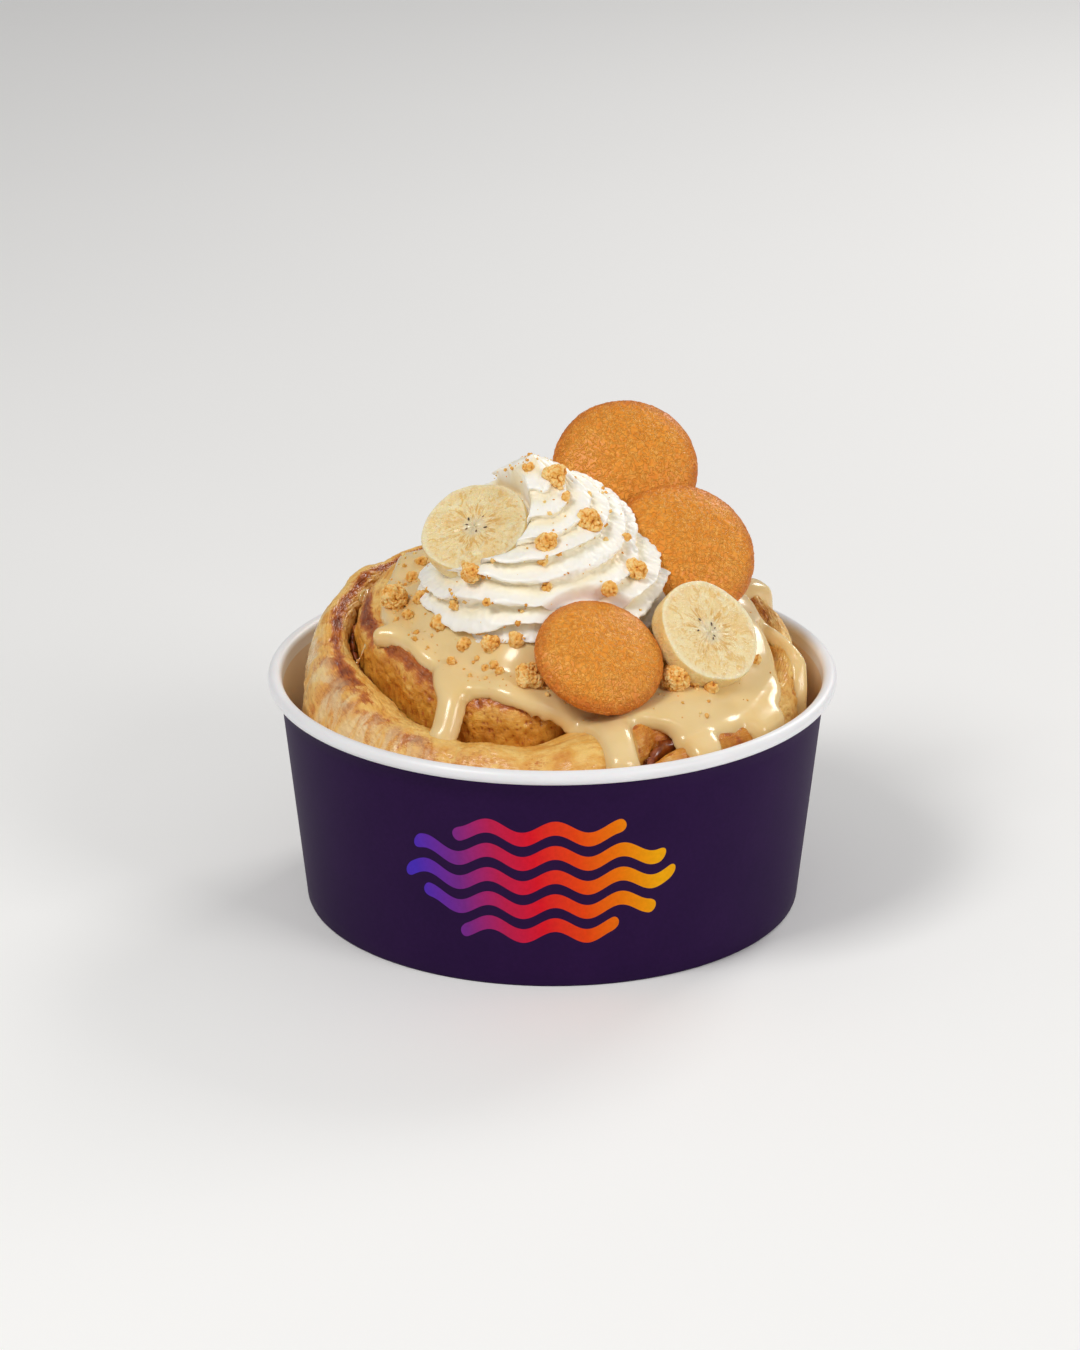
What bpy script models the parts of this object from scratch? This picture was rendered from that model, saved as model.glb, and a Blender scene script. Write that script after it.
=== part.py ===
# A large spiral bun under banana pudding sauce in a paper bowl, topped with
# whipped cream, three round wafers, two banana slices and biscuit crumbs.
# Lengths below are millimetres and angles are degrees; the mesh is in metres.
# The origin is the middle of the bowl's foot, +Z is up, and the front faces -Y.

import math
import random

import bmesh
import bpy
from mathutils import Matrix, Vector, noise

MM = 0.001
GAP = 0.42  # between pieces that touch

# Bowl
BOWL_HEIGHT = 63.0
FOOT_RADIUS = 65.2
WALL_TOP_RADIUS = 71.9
WALL_TOP_HEIGHT = 60.0
WALL_THICKNESS = 0.75
RIM_RADIUS = 75.0
RIM_BEAD = 1.85
FLOOR_UNDERSIDE = 4.6
FLOOR_TOP = 5.4
SKIRT_THICKNESS = 1.8
BOWL_SIDES = 44

# Bun: one strip of dough that winds inward anticlockwise from its tail
TAIL_AZIMUTH = -68.0
STRIP_END = 1090.0
BUN_RADIUS = 65.5
BUN_FOOT_RADIUS = 61.0
BUN_BOTTOM = FLOOR_TOP + GAP
BUN_SIDE_HEIGHT = 42.0
TURN_GAP = 1.9
TAIL_NARROWING = 1.2  # of the outer face at the very end of the tail
TAIL_SPAN = 6.0
TUCK_START = 354.0  # winding angle at which the strip begins to slip under its own tail
TUCK_SPAN = 6.0
OUTER_DROP = (13.0, 9.5, 6.0)  # how far a turn's outer shoulder falls, by turn
INNER_DROP = (5.0, 4.5, 4.0)
OUTER_POWER = (1.75, 2.1, 2.2)  # roundness of the outer shoulder, by turn
INNER_POWER = 2.2
DOUGH_LUMP = 0.6
# (winding angle from the tail, height of the strip's crest)
CREST_HEIGHTS = (
    (0, 55), (36, 58.5), (68, 67), (88, 72.5), (113, 76), (158, 79), (195, 78.5),
    (228, 75.5), (248, 71.0), (270, 66.5), (293, 63.0), (315, 61.0), (338, 61.0),
    (360, 63), (396, 67), (428, 73), (518, 82.5), (555, 82.5), (608, 78.5),
    (653, 73.5), (690, 71.5), (720, 73), (760, 77), (830, 81), (900, 83.5),
    (1110, 84.5),
)
# (winding angle from the tail, radius of the strip's inner face)
INNER_RADII = (
    (0, 61), (8, 57), (36, 57), (158, 57.5), (195, 57.6), (212, 56.3), (238, 54.5),
    (257, 51), (270, 48), (293, 47.3), (315, 48.8), (328, 48.5), (338, 43.5),
    (350, 40), (368, 40), (396, 41), (428, 42), (518, 42.5), (555, 43), (608, 37),
    (653, 31.5), (690, 32), (710, 25), (740, 12), (770, 1.5),
)

# Cinnamon filling between the turns
FILLING_THICKNESS = 1.1
FILLING_START = 10.0
FILLING_END = 700.0

# Sauce
SAUCE_THICKNESS = 2.3
SAUCE_ROUNDING = 3.5  # from its edge to its full thickness
BRIDGE_STEP = 2.0
BRIDGE_STEPS = 3  # to either side of a place
BRIDGE_SAG = 9.0  # the larger, the wider the creases that the sauce spans
SAUCE_DEPTH = 9.0  # of the block that is cut away by the bun
SAUCE_EDGE_DEPTH = 2.5
SAUCE_EDGE_SINK = 1.5  # of its edge below the bun's top
SAUCE_INSETS = (0.0, 0.5, 2.6, 8.0, 18.0, 32.0)  # of its rings from its edge
SAUCE_COARSE_INSET = 10.0  # past this, under the cream, every other point will do
BED_INSETS = (32.0, 18.0, 8.0, 4.5)
BED_LIFT = 0.5
# (azimuth, radius of the sauce's edge between the runs)
SAUCE_EDGE = (
    (-180, 45.5), (-172, 44.5), (-166, 47.0), (-160, 43.0), (-143, 42.3), (-128, 44.5),
    (-112, 44.6), (-99, 45.0), (-87, 42.5), (-80, 43.0), (-68, 52.0), (-57, 50.0),
    (-48, 57.5), (-32, 56.5), (-24, 62.5), (-10, 60.5), (2, 56.0), (12, 58.5), (25, 56.0),
    (60, 51.0), (110, 50.0), (137, 47.0), (160, 46.0), (180, 45.5),
)
# azimuth, half width at the top, half width at the end, last point's radius and height
SAUCE_RUNS = (
    ("left", -123.0, 4.2, 2.8, 52.5, 62.0),
    ("front", -73.5, 5.4, 4.2, 66.6, 52.0),
    ("middle", -47.0, 6.4, 4.6, 66.6, 50.0),
    ("right", -27.0, 8.0, 6.8, 66.6, 50.0),
    ("far", -10.0, 3.4, 2.2, 66.4, 51.0),
    ("back", 30.5, 5.0, 3.4, 66.4, 62.0),
)
RUN_THICKNESS = 2.6
RUN_SIDES = 8
RUN_START_INSET = 9.0  # inside the sauce's edge

# Whipped cream
CREAM_CENTRE = (-1.2, 1.0)
CREAM_TIP = 121.5
CREAM_TIP_LEAN = -4.0
CREAM_FOOT_RADIUS = 33.0
CREAM_SINK = 3.0  # of its base below the sauce's top, before the sauce is cut out of it
PRESS_MARGIN = 3.0  # round a topping, over which the pressed cream rises again
PRESS_FLOOR = 1.0  # of pressed cream above the sauce
CREAM_RIDGES = 8
CREAM_RIDGE_DEPTH = 2.4
CREAM_COILS = 2.7
CREAM_COIL_DEPTH = 2.2
CREAM_SHOULDER = 3.2  # bulge of the fold that laps over the left slice's lower edge
SHOULDER_AZIMUTH = -138.0
SHOULDER_SHARE = 0.45
CREAM_LEVELS = 20
CREAM_SIDES = 30
# (share of the way up, radius, height)
CREAM_PROFILE = (
    (0.0, 32.0, 80.0), (0.12, 33.0, 84.0), (0.3, 30.5, 91.5), (0.5, 25.0, 100.0),
    (0.7, 18.5, 108.0), (0.85, 12.0, 114.5), (0.95, 5.5, 119.0), (1.0, 1.0, 121.5),
)

# Wafers: radius, height, middle of the widest ring, direction that the dome faces
WAFERS = {
    "wafer_top": (19.4, 9.5, (19.2, 27.15, 108.4), (0.02, -0.79, 0.61)),
    "wafer_middle": (19.4, 9.5, (34.0, 4.9, 92.9), (0.195, -0.714, 0.671)),
    "wafer_front": (17.0, 9.0, (11.9, -37.0, 79.8), (0.252, -0.554, 0.793)),
}
WAFER_SIDES = 24
WAFER_EDGE = 2.6  # from the widest ring down to the flat base

# Banana slices: radius, thickness, middle, direction that the cut face faces
SLICES = {
    "banana_slice_left": (14.3, 5.5, (-19.7, -4.9, 102.3), (-0.28, -0.50, 0.82)),
    "banana_slice_right": (14.7, 5.5, (39.4, -21.5, 80.0), (0.50, -0.52, 0.69)),
}
SLICE_SIDES = 24

# Biscuit nuggets of their own: size, azimuth and radius on the sauce
SAUCE_NUGGETS = {
    "crumb_left": (8.6, 179.0, 41.5),
    "crumb_front": (7.6, -98.5, 39.5),
    "crumb_right": (9.0, -46.5, 46.0),
    "crumb_small": (5.4, -118.1, 34.0),
}
# size, azimuth and share of the way up the cream
CREAM_NUGGETS = {
    "crumb_cream_high": (6.6, -50.0, 0.92),
    "crumb_cream_upper": (7.8, -48.0, 0.70),
    "crumb_cream_middle": (6.4, -89.0, 0.62),
    "crumb_cream_left": (6.0, -131.0, 0.43),
    "crumb_cream_right": (5.6, -36.0, 0.41),
}
# Crumbs joined to the sauce (size, azimuth, radius) and the cream (size, azimuth, share)
SAUCE_CRUMBS = (
    (4.4, -131.0, 34.6), (4.8, -126.0, 31.2), (4.6, -105.8, 33.4), (3.2, -113.3, 37.2),
    (5.0, -149.0, 34.2), (4.4, -172.0, 34.6), (4.0, -38.8, 52.5), (3.2, -16.5, 55.2),
    (3.2, -168.0, 38.6), (3.4, 158.0, 40.0), (3.2, 146.0, 42.0),
)
CREAM_CRUMBS = (
    (4.6, -57.0, 0.35), (3.0, -109.0, 0.96), (2.8, -90.0, 0.38), (3.0, -92.0, 0.53),
    (3.0, -141.0, 0.21), (3.2, 60.0, 0.4), (3.4, 120.0, 0.35),
)

COLOURS = {
    "bowl_paper": ((30, 16, 40), 0.45),
    "dough": ((222, 168, 96), 0.62),
    "filling": ((92, 42, 18), 0.35),
    "sauce": ((224, 205, 154), 0.22),
    "cream": ((246, 241, 231), 0.5),
    "wafer": ((214, 145, 66), 0.75),
    "banana": ((243, 222, 166), 0.35),
    "crumb": ((219, 168, 88), 0.8),
}


def linear(level):
    share = level / 255.0
    return share / 12.92 if share <= 0.04045 else ((share + 0.055) / 1.055) ** 2.4


def make_materials():
    made = {}
    for name, (colour, roughness) in COLOURS.items():
        material = bpy.data.materials.new(name)
        material.use_nodes = True
        shader = material.node_tree.nodes["Principled BSDF"]
        shader.inputs["Base Color"].default_value = (*map(linear, colour), 1.0)
        shader.inputs["Roughness"].default_value = roughness
        shader.inputs["Metallic"].default_value = 0.0
        made[name] = material
    return made


def smooth_curve(points):
    """A function that passes through the points with an even slope."""
    xs = [float(point[0]) for point in points]
    ys = [float(point[1]) for point in points]
    slopes = [0.0] * len(xs)
    for i in range(1, len(xs) - 1):
        slopes[i] = (ys[i + 1] - ys[i - 1]) / (xs[i + 1] - xs[i - 1])

    def curve(x):
        if x <= xs[0]:
            return ys[0]
        if x >= xs[-1]:
            return ys[-1]
        i = max(k for k in range(len(xs) - 1) if xs[k] <= x)
        span = xs[i + 1] - xs[i]
        t = (x - xs[i]) / span
        return (
            (2 * t**3 - 3 * t**2 + 1) * ys[i]
            + (t**3 - 2 * t**2 + t) * span * slopes[i]
            + (3 * t**2 - 2 * t**3) * ys[i + 1]
            + (t**3 - t**2) * span * slopes[i + 1]
        )

    return curve


def clamp(value, low, high):
    return max(low, min(high, value))


def ease(value):
    t = clamp(value, 0.0, 1.0)
    return t * t * (3 - 2 * t)


def polar(radius, azimuth, height=0.0):
    """A point given by its distance from the bowl's axis, its direction and its height."""
    angle = math.radians(azimuth)
    return Vector((radius * math.cos(angle), radius * math.sin(angle), height))


crest_height = smooth_curve(CREST_HEIGHTS)
inner_radius = smooth_curve(INNER_RADII)
sauce_edge = smooth_curve(SAUCE_EDGE)
cream_radius = smooth_curve([(p[0], p[1]) for p in CREAM_PROFILE])
cream_height = smooth_curve([(p[0], p[2]) for p in CREAM_PROFILE])


def by_turn(values, winding):
    """A value given for each turn, changed gradually where one turn passes to the next."""
    turn = clamp(winding / 360.0, 0.0, 2.999)
    here = int(turn)
    following = min(here + 1, len(values) - 1)
    return values[here] + (values[following] - values[here]) * ease((turn - here - 0.9) / 0.1)


def outer_radius(winding):
    """The strip's outer face: the bun's own side, then just inside the turn before."""
    side = BUN_RADIUS - TAIL_NARROWING * math.exp(-winding / TAIL_SPAN)
    if winding < TUCK_START:
        return side
    tucked = inner_radius(max(winding - 360.0, 0.0)) - TURN_GAP
    return side + (tucked - side) * ease((winding - TUCK_START) / TUCK_SPAN)


def strip_top(winding, across):
    """Height of the strip's upper side. across is 1 at its outer face and -1 at its inner one."""
    drop = by_turn(OUTER_DROP if across > 0 else INNER_DROP, winding)
    power = by_turn(OUTER_POWER, winding) if across > 0 else INNER_POWER
    curve = (1.0 - abs(across) ** power) ** (1.0 / power)
    lump = DOUGH_LUMP * (
        math.sin(math.radians(7 * winding)) + 0.6 * math.sin(math.radians(17 * winding + 40))
    )
    return crest_height(winding) + lump * curve - drop * (1.0 - curve)


def bun_top(radius, azimuth):
    """Height of the bun's upper side at a place."""
    winding = (azimuth - TAIL_AZIMUTH) % 360.0
    if radius >= outer_radius(winding):
        return strip_top(winding, 1.0)
    while winding < STRIP_END:
        outer = outer_radius(winding)
        inner = inner_radius(winding)
        if radius >= inner - TURN_GAP / 2:
            half = max((outer - inner) / 2, 0.1)
            return strip_top(winding, clamp((radius - inner - half) / half, -1.0, 1.0))
        winding += 360.0
    return crest_height(STRIP_END)


def bun_cover(radius, azimuth):
    """Height that thick sauce lies at: the bun's tops with the creases bridged."""
    heights = []
    for step in range(-BRIDGE_STEPS, BRIDGE_STEPS + 1):
        reach = BRIDGE_STEP * step
        heights.append(bun_top(abs(radius + reach), azimuth) - reach * reach / BRIDGE_SAG)
    return max(heights)


def sauce_top(radius, azimuth):
    """Height of the sauce's upper side, which thins out at its edge."""
    azimuth = (azimuth + 180.0) % 360.0 - 180.0
    inside = clamp((sauce_edge(azimuth) - radius) / SAUCE_ROUNDING, 0.0, 1.0)
    body = SAUCE_THICKNESS * (1.0 - (1.0 - inside) ** 2) ** 0.5
    return bun_cover(radius, azimuth) + body


def sauce_top_at(x, y):
    return sauce_top(math.hypot(x, y), math.degrees(math.atan2(y, x)))


def halve(bm, fine, coarse, i, forward):
    """The faces between a ring and one with half its points, from the fine ring's point i."""
    if i % 2:
        return
    a, b, c = fine[i], fine[i + 1], fine[(i + 2) % len(fine)]
    d = coarse[i // 2]
    e = coarse[(i // 2 + 1) % len(coarse)]
    for corners in ((a, b, d), (b, e, d), (b, c, e)):
        bm.faces.new(corners if forward else corners[::-1])


def loft(bm, rings):
    """Joins rings of points into a closed skin. A ring has as many points as the last, half, or one."""
    rows = [[bm.verts.new(MM * Vector(point)) for point in ring] for ring in rings]
    for first, second in zip(rows, rows[1:]):
        count = max(len(first), len(second))
        for i in range(count):
            k = (i + 1) % count
            if len(first) == 1:
                bm.faces.new((first[0], second[k], second[i]))
            elif len(second) == 1:
                bm.faces.new((first[i], first[k], second[0]))
            elif len(first) == len(second):
                bm.faces.new((first[i], first[k], second[k], second[i]))
            elif len(first) > len(second):
                halve(bm, first, second, i, True)
            else:
                halve(bm, second, first, i, False)
    for row in (rows[0], rows[-1]):
        if len(row) > 2:
            bm.faces.new(row)


def object_from(bm, name, material, collection):
    """An object of triangles, so that a cutter grown from it keeps the same creases."""
    bmesh.ops.triangulate(bm, faces=bm.faces)
    bmesh.ops.recalc_face_normals(bm, faces=bm.faces)
    if bm.calc_volume(signed=True) < 0.0:
        bmesh.ops.reverse_faces(bm, faces=bm.faces)
    mesh = bpy.data.meshes.new(name)
    bm.to_mesh(mesh)
    bm.free()
    mesh.materials.append(material)
    mesh.shade_smooth()
    mesh.set_sharp_from_angle(angle=math.radians(40))
    made = bpy.data.objects.new(name, mesh)
    collection.objects.link(made)
    return made


def turned(name, profile, sides, material, collection):
    """An object turned round Z from a profile of (radius, height)."""
    mesh = bpy.data.meshes.new(name)
    points = [(MM * radius, 0.0, MM * height) for radius, height in profile]
    mesh.from_pydata(points, [(i, i + 1) for i in range(len(points) - 1)], [])
    mesh.materials.append(material)
    made = bpy.data.objects.new(name, mesh)
    collection.objects.link(made)
    screw = made.modifiers.new("Turn", "SCREW")
    screw.steps = sides
    screw.render_steps = sides
    screw.use_merge_vertices = True
    screw.merge_threshold = 0.00001
    screw.use_smooth_shade = True
    return made


def baked(source, name, collection):
    """A plain mesh copy of an object as its modifiers leave it, in world space."""
    bpy.context.view_layer.update()
    graph = bpy.context.evaluated_depsgraph_get()
    mesh = bpy.data.meshes.new_from_object(source.evaluated_get(graph))
    mesh.transform(source.matrix_world)
    mesh.name = name
    made = bpy.data.objects.new(name, mesh)
    collection.objects.link(made)
    return made


def grown(source, collection, by=GAP):
    """A cutter a little larger than an object all round."""
    cutter = baked(source, "cut_" + source.name, collection)
    bm = bmesh.new()
    bm.from_mesh(cutter.data)
    bm.normal_update()
    shifts = [MM * by * vert.normal for vert in bm.verts]
    for vert, shift in zip(bm.verts, shifts):
        vert.co += shift
    bm.to_mesh(cutter.data)
    bm.free()
    hide(cutter)
    return cutter


def hide(helper):
    helper.hide_render = True
    helper.display_type = "WIRE"


def combine(target, operation, others, name):
    """Applies one Boolean with several objects, then removes them."""
    group = bpy.data.collections.new(name)
    bpy.context.scene.collection.children.link(group)
    for other in others:
        for owner in list(other.users_collection):
            owner.objects.unlink(other)
        group.objects.link(other)
    modifier = target.modifiers.new(name, "BOOLEAN")
    modifier.operation = operation
    modifier.operand_type = "COLLECTION"
    modifier.collection = group
    modifier.solver = "EXACT"
    bpy.context.view_layer.update()
    graph = bpy.context.evaluated_depsgraph_get()
    result = bpy.data.meshes.new_from_object(target.evaluated_get(graph))
    target.modifiers.clear()
    target.data = result
    for other in others:
        bpy.data.objects.remove(other)
    bpy.data.collections.remove(group)


def keep_largest(target):
    """Drops the loose scraps that a cut leaves and closes up doubled points."""
    bm = bmesh.new()
    bm.from_mesh(target.data)
    bmesh.ops.remove_doubles(bm, verts=bm.verts, dist=MM * 0.002)
    unseen = set(bm.verts)
    islands = []
    while unseen:
        edge = [unseen.pop()]
        island = []
        while edge:
            vert = edge.pop()
            island.append(vert)
            for link in vert.link_edges:
                other = link.other_vert(vert)
                if other in unseen:
                    unseen.discard(other)
                    edge.append(other)
        islands.append(island)
    islands.sort(key=len)
    scraps = [vert for island in islands[:-1] for vert in island]
    bmesh.ops.delete(bm, geom=scraps, context="VERTS")
    bm.to_mesh(target.data)
    bm.free()


def make_bowl(materials, collection):
    def wall(height):
        return FOOT_RADIUS + (WALL_TOP_RADIUS - FOOT_RADIUS) * height / WALL_TOP_HEIGHT

    bead_radius = RIM_RADIUS - RIM_BEAD
    bead_height = BOWL_HEIGHT - RIM_BEAD
    bead = []
    for step in range(8):
        angle = math.radians(205.0 - 310.0 * step / 7)
        bead.append(
            (bead_radius + RIM_BEAD * math.cos(angle), bead_height + RIM_BEAD * math.sin(angle))
        )
    inner_foot = wall(FLOOR_TOP) - WALL_THICKNESS
    skirt = FOOT_RADIUS - SKIRT_THICKNESS
    profile = [
        (0.0, FLOOR_TOP),
        (inner_foot - 1.2, FLOOR_TOP),
        (inner_foot + 0.1, FLOOR_TOP + 1.2),
        *bead,
        (wall(0.6), 0.6),
        (FOOT_RADIUS - 0.4, 0.0),
        (skirt + 0.3, 0.0),
        (skirt, 0.4),
        (skirt + 0.4, FLOOR_UNDERSIDE),
        (0.0, FLOOR_UNDERSIDE),
    ]
    return turned("paper_bowl", profile, BOWL_SIDES, materials["bowl_paper"], collection)


def windings(start, end):
    """Winding angles of the strip's sections: the same azimuths on every turn that shows."""
    found = []
    here = 0.0
    while here < end:
        if here >= start:
            found.append(here)
        here += 5.0 if 325.0 <= here % 360.0 < 365.0 else 10.0 if here < 780.0 else 20.0
    return found + [end]


def make_dough(materials, collection):
    spread = (1.0, 0.92, 0.7, 0.32, -0.2, -0.65, -0.92, -1.0)
    rings = []
    for winding in windings(0.0, STRIP_END):
        azimuth = TAIL_AZIMUTH + winding
        outer = outer_radius(winding)
        inner = inner_radius(winding)
        foot = min(outer, BUN_FOOT_RADIUS)
        section = [(inner, BUN_BOTTOM), (foot, BUN_BOTTOM)]
        bulge = foot + 0.8 * (outer - foot)
        section.append((bulge, (BUN_BOTTOM + BUN_SIDE_HEIGHT) / 2))
        for across in spread:
            radius = (outer + inner) / 2 + across * (outer - inner) / 2
            section.append((radius, strip_top(winding, across)))
        rings.append([polar(radius, azimuth, height) for radius, height in section])
    bm = bmesh.new()
    loft(bm, rings)
    return object_from(bm, "dough_roll", materials["dough"], collection)


def make_filling(materials, collection):
    rings = []
    for winding in windings(FILLING_START, FILLING_END):
        azimuth = TAIL_AZIMUTH + winding
        middle = inner_radius(winding) - TURN_GAP / 2
        crest = min(crest_height(winding), crest_height(winding + 360.0))
        top = crest - by_turn(INNER_DROP, winding) + 1.2
        outer = middle + FILLING_THICKNESS / 2
        inner = middle - FILLING_THICKNESS / 2
        section = ((inner, BUN_BOTTOM), (outer, BUN_BOTTOM), (outer, top), (inner, top))
        rings.append([polar(radius, azimuth, height) for radius, height in section])
    bm = bmesh.new()
    loft(bm, rings)
    return object_from(bm, "cinnamon_filling", materials["filling"], collection)


def sauce_azimuths():
    """Azimuths of the sauce's rings, closer together where its edge shows."""
    found = [-180.0 + 5.3 * step for step in range(37)]
    return found + [20.0 + 12.0 * step for step in range(13)]


def make_sauce_block(materials, collection):
    """The sauce as one thick block, before the bun and the toppings are cut out of it."""
    azimuths = sauce_azimuths()
    rings = []
    for inset in SAUCE_INSETS:
        ring = []
        for azimuth in azimuths[:: 1 if inset < SAUCE_COARSE_INSET else 2]:
            radius = sauce_edge(azimuth) - inset
            height = sauce_top(radius, azimuth)
            if inset == 0.0:
                height = bun_top(radius, azimuth) - SAUCE_EDGE_SINK
            ring.append(polar(radius, azimuth, height))
        rings.insert(0, ring)
    middle = sauce_top(0.0, 0.0)
    rings.insert(0, [polar(0, 0, middle)])
    rings.append([point - Vector((0, 0, SAUCE_EDGE_DEPTH)) for point in rings[-1]])
    for inset in (14.0, 30.0):
        ring = []
        for azimuth in azimuths[::2]:
            radius = sauce_edge(azimuth) - inset
            ring.append(polar(radius, azimuth, bun_cover(radius, azimuth) - SAUCE_DEPTH))
        rings.append(ring)
    rings.append([polar(0, 0, middle - SAUCE_DEPTH - SAUCE_THICKNESS)])
    bm = bmesh.new()
    loft(bm, rings)
    return object_from(bm, "pudding_sauce", materials["sauce"], collection)


def make_bed(materials, collection):
    """What the middle of the sauce lies on: the bun's top with its creases bridged."""
    azimuths = sauce_azimuths()[::2]
    rings = [[polar(0, 0, bun_cover(0.0, 0.0) + GAP)]]
    for inset in BED_INSETS:
        ring = []
        for azimuth in azimuths:
            radius = sauce_edge(azimuth) - inset
            ring.append(polar(radius, azimuth, bun_cover(radius, azimuth) + GAP + BED_LIFT))
        rings.append(ring)
    rings.append([point - Vector((0, 0, SAUCE_DEPTH)) for point in rings[-1]])
    rings.append([polar(0, 0, bun_cover(0.0, 0.0) - 2.0 * SAUCE_DEPTH)])
    bm = bmesh.new()
    loft(bm, rings)
    bed = object_from(bm, "cut_bed", materials["dough"], collection)
    hide(bed)
    return bed


def run_path(azimuth, last_radius, last_height):
    """Points down the bun from inside the sauce to the end of a run, as (radius, height)."""
    start = sauce_edge(azimuth) - RUN_START_INSET
    over = min(last_radius, BUN_RADIUS - 5.0)
    points = []
    for step in range(5):
        radius = start + (over - start) * step / 4
        low = bun_top(radius, azimuth)
        points.append((radius, (bun_cover(radius, azimuth) + low) / 2 + 0.3))
    shoulder = points[-1][1]
    if last_radius > BUN_RADIUS:
        points.append((BUN_RADIUS - 1.0, shoulder - 3.4))
        points.append((BUN_RADIUS + 0.4, max(shoulder - 8.0, last_height + 3.0)))
    points.append((last_radius, last_height))
    return points


def make_run(name, azimuth, top_width, end_width, last_radius, last_height, materials, collection):
    """A run of sauce down the bun's side, as a flattened tube with a round end."""
    path = run_path(azimuth, last_radius, last_height)
    rings = []
    for i, (radius, height) in enumerate(path):
        share = i / (len(path) - 1)
        before = path[max(i - 1, 0)]
        after = path[min(i + 1, len(path) - 1)]
        slope = math.atan2(after[1] - before[1], after[0] - before[0])
        width = top_width + (end_width - top_width) * share
        thick = RUN_THICKNESS * (0.7 + 0.3 * share)
        if i == len(path) - 1:
            width *= 0.55
            thick *= 0.6
        ring = []
        for step in range(RUN_SIDES):
            angle = 2 * math.pi * step / RUN_SIDES
            lift = thick * math.sin(angle)
            out = radius - lift * math.sin(slope)
            point = polar(out, azimuth, height + lift * math.cos(slope))
            side = polar(width * math.cos(angle), azimuth + 90.0)
            ring.append(point + side)
        rings.append(ring)
    bm = bmesh.new()
    loft(bm, rings)
    return object_from(bm, "run_" + name, materials["sauce"], collection)


def cream_point(share, azimuth, out=0.0):
    """A point of the cream's skin: a mound with coils and ridges that climb round it."""
    turn = azimuth / 360.0
    ridge = math.cos(2 * math.pi * (CREAM_RIDGES * share - 3 * turn))
    coil = math.cos(2 * math.pi * (CREAM_COILS * share - turn) + 0.6)
    fade = ease(share / 0.12) * ease((1.0 - share) / 0.22)
    radius = cream_radius(share) + out
    radius += fade * (CREAM_RIDGE_DEPTH * ridge + CREAM_COIL_DEPTH * coil) / 2
    radius += 0.5 * fade * math.sin(math.radians(3 * azimuth + 40))
    aside = ((azimuth - SHOULDER_AZIMUTH + 180.0) % 360.0 - 180.0) / 34.0
    radius += CREAM_SHOULDER * math.exp(-(aside**2) - ((share - SHOULDER_SHARE) / 0.13) ** 2)
    place = Vector((*CREAM_CENTRE, 0.0)) + polar(radius, azimuth)
    place.x += CREAM_TIP_LEAN * share**3
    foot = sauce_top_at(place.x, place.y)
    blend = ease(share / 0.3)
    place.z = (foot + 18.0 * share) * (1 - blend) + cream_height(share) * blend
    return place


def make_cream(materials, collection):
    def around(skip):
        return [360.0 * side / CREAM_SIDES for side in range(0, CREAM_SIDES, skip)]

    middle = Vector((*CREAM_CENTRE, 0.0))
    rings = [[middle + Vector((0, 0, sauce_top_at(*CREAM_CENTRE) - CREAM_SINK))]]
    low = []
    for azimuth in around(1):
        place = middle + polar(0.97 * CREAM_FOOT_RADIUS, azimuth)
        place.z = sauce_top_at(place.x, place.y) - CREAM_SINK
        low.append(place)
    rings.append(low)
    for level in range(CREAM_LEVELS):
        share = level / (CREAM_LEVELS - 1)
        skip = 1 if share < 0.65 else 2
        rings.append([cream_point(share, azimuth) for azimuth in around(skip)])
    rings.append([middle + Vector((CREAM_TIP_LEAN, 0, CREAM_TIP + 0.4))])
    bm = bmesh.new()
    loft(bm, rings)
    press_toppings(bm)
    return object_from(bm, "whipped_cream", materials["cream"], collection)


def press_toppings(bm):
    """Pushes the cream down under the slices and the wafer that lie on its flank."""
    pressing = [(SLICES[name][0], *SLICES[name][2:]) for name in SLICES]
    radius, _, middle, facing = WAFERS["wafer_front"]
    pressing.append((radius, middle, facing))
    for radius, middle, facing in pressing:
        normal = Vector(facing).normalized()
        for vert in bm.verts:
            offset = vert.co / MM - Vector(middle)
            above = offset.dot(normal)
            aside = (offset - above * normal).length
            if above > 0.0:
                push = 0.95 * above * (1.0 - ease((aside - radius - 0.5) / PRESS_MARGIN))
                pressed = vert.co / MM - push * normal
                floor = sauce_top_at(pressed.x, pressed.y) + PRESS_FLOOR
                height = vert.co.z / MM
                pressed.z = max(pressed.z, min(height, floor + 0.1 * (height - floor)))
                vert.co = MM * pressed


def facing_matrix(middle, facing):
    turn = Vector(facing).normalized().to_track_quat("Z", "Y")
    return Matrix.Translation(MM * Vector(middle)) @ turn.to_matrix().to_4x4()


def wafer_profile(radius, height):
    """A domed wafer: flat base, round edge, crown. Its widest ring is at height 0."""
    crown = height - WAFER_EDGE
    profile = [(0.0, crown)]
    for step in range(1, 5):
        angle = math.pi / 2 * step / 5
        profile.append((radius * math.sin(angle), crown * math.cos(angle) ** 1.15))
    profile.append((radius, 0.0))
    profile.append((radius - 0.5, -WAFER_EDGE * 0.6))
    profile.append((radius - 1.8, -WAFER_EDGE))
    profile.append((0.0, -WAFER_EDGE))
    return profile


def make_wafer(name, materials, collection):
    radius, height, middle, facing = WAFERS[name]
    wafer = turned(
        name, wafer_profile(radius, height), WAFER_SIDES, materials["wafer"], collection
    )
    wafer.matrix_world = facing_matrix(middle, facing)
    return wafer


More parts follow.
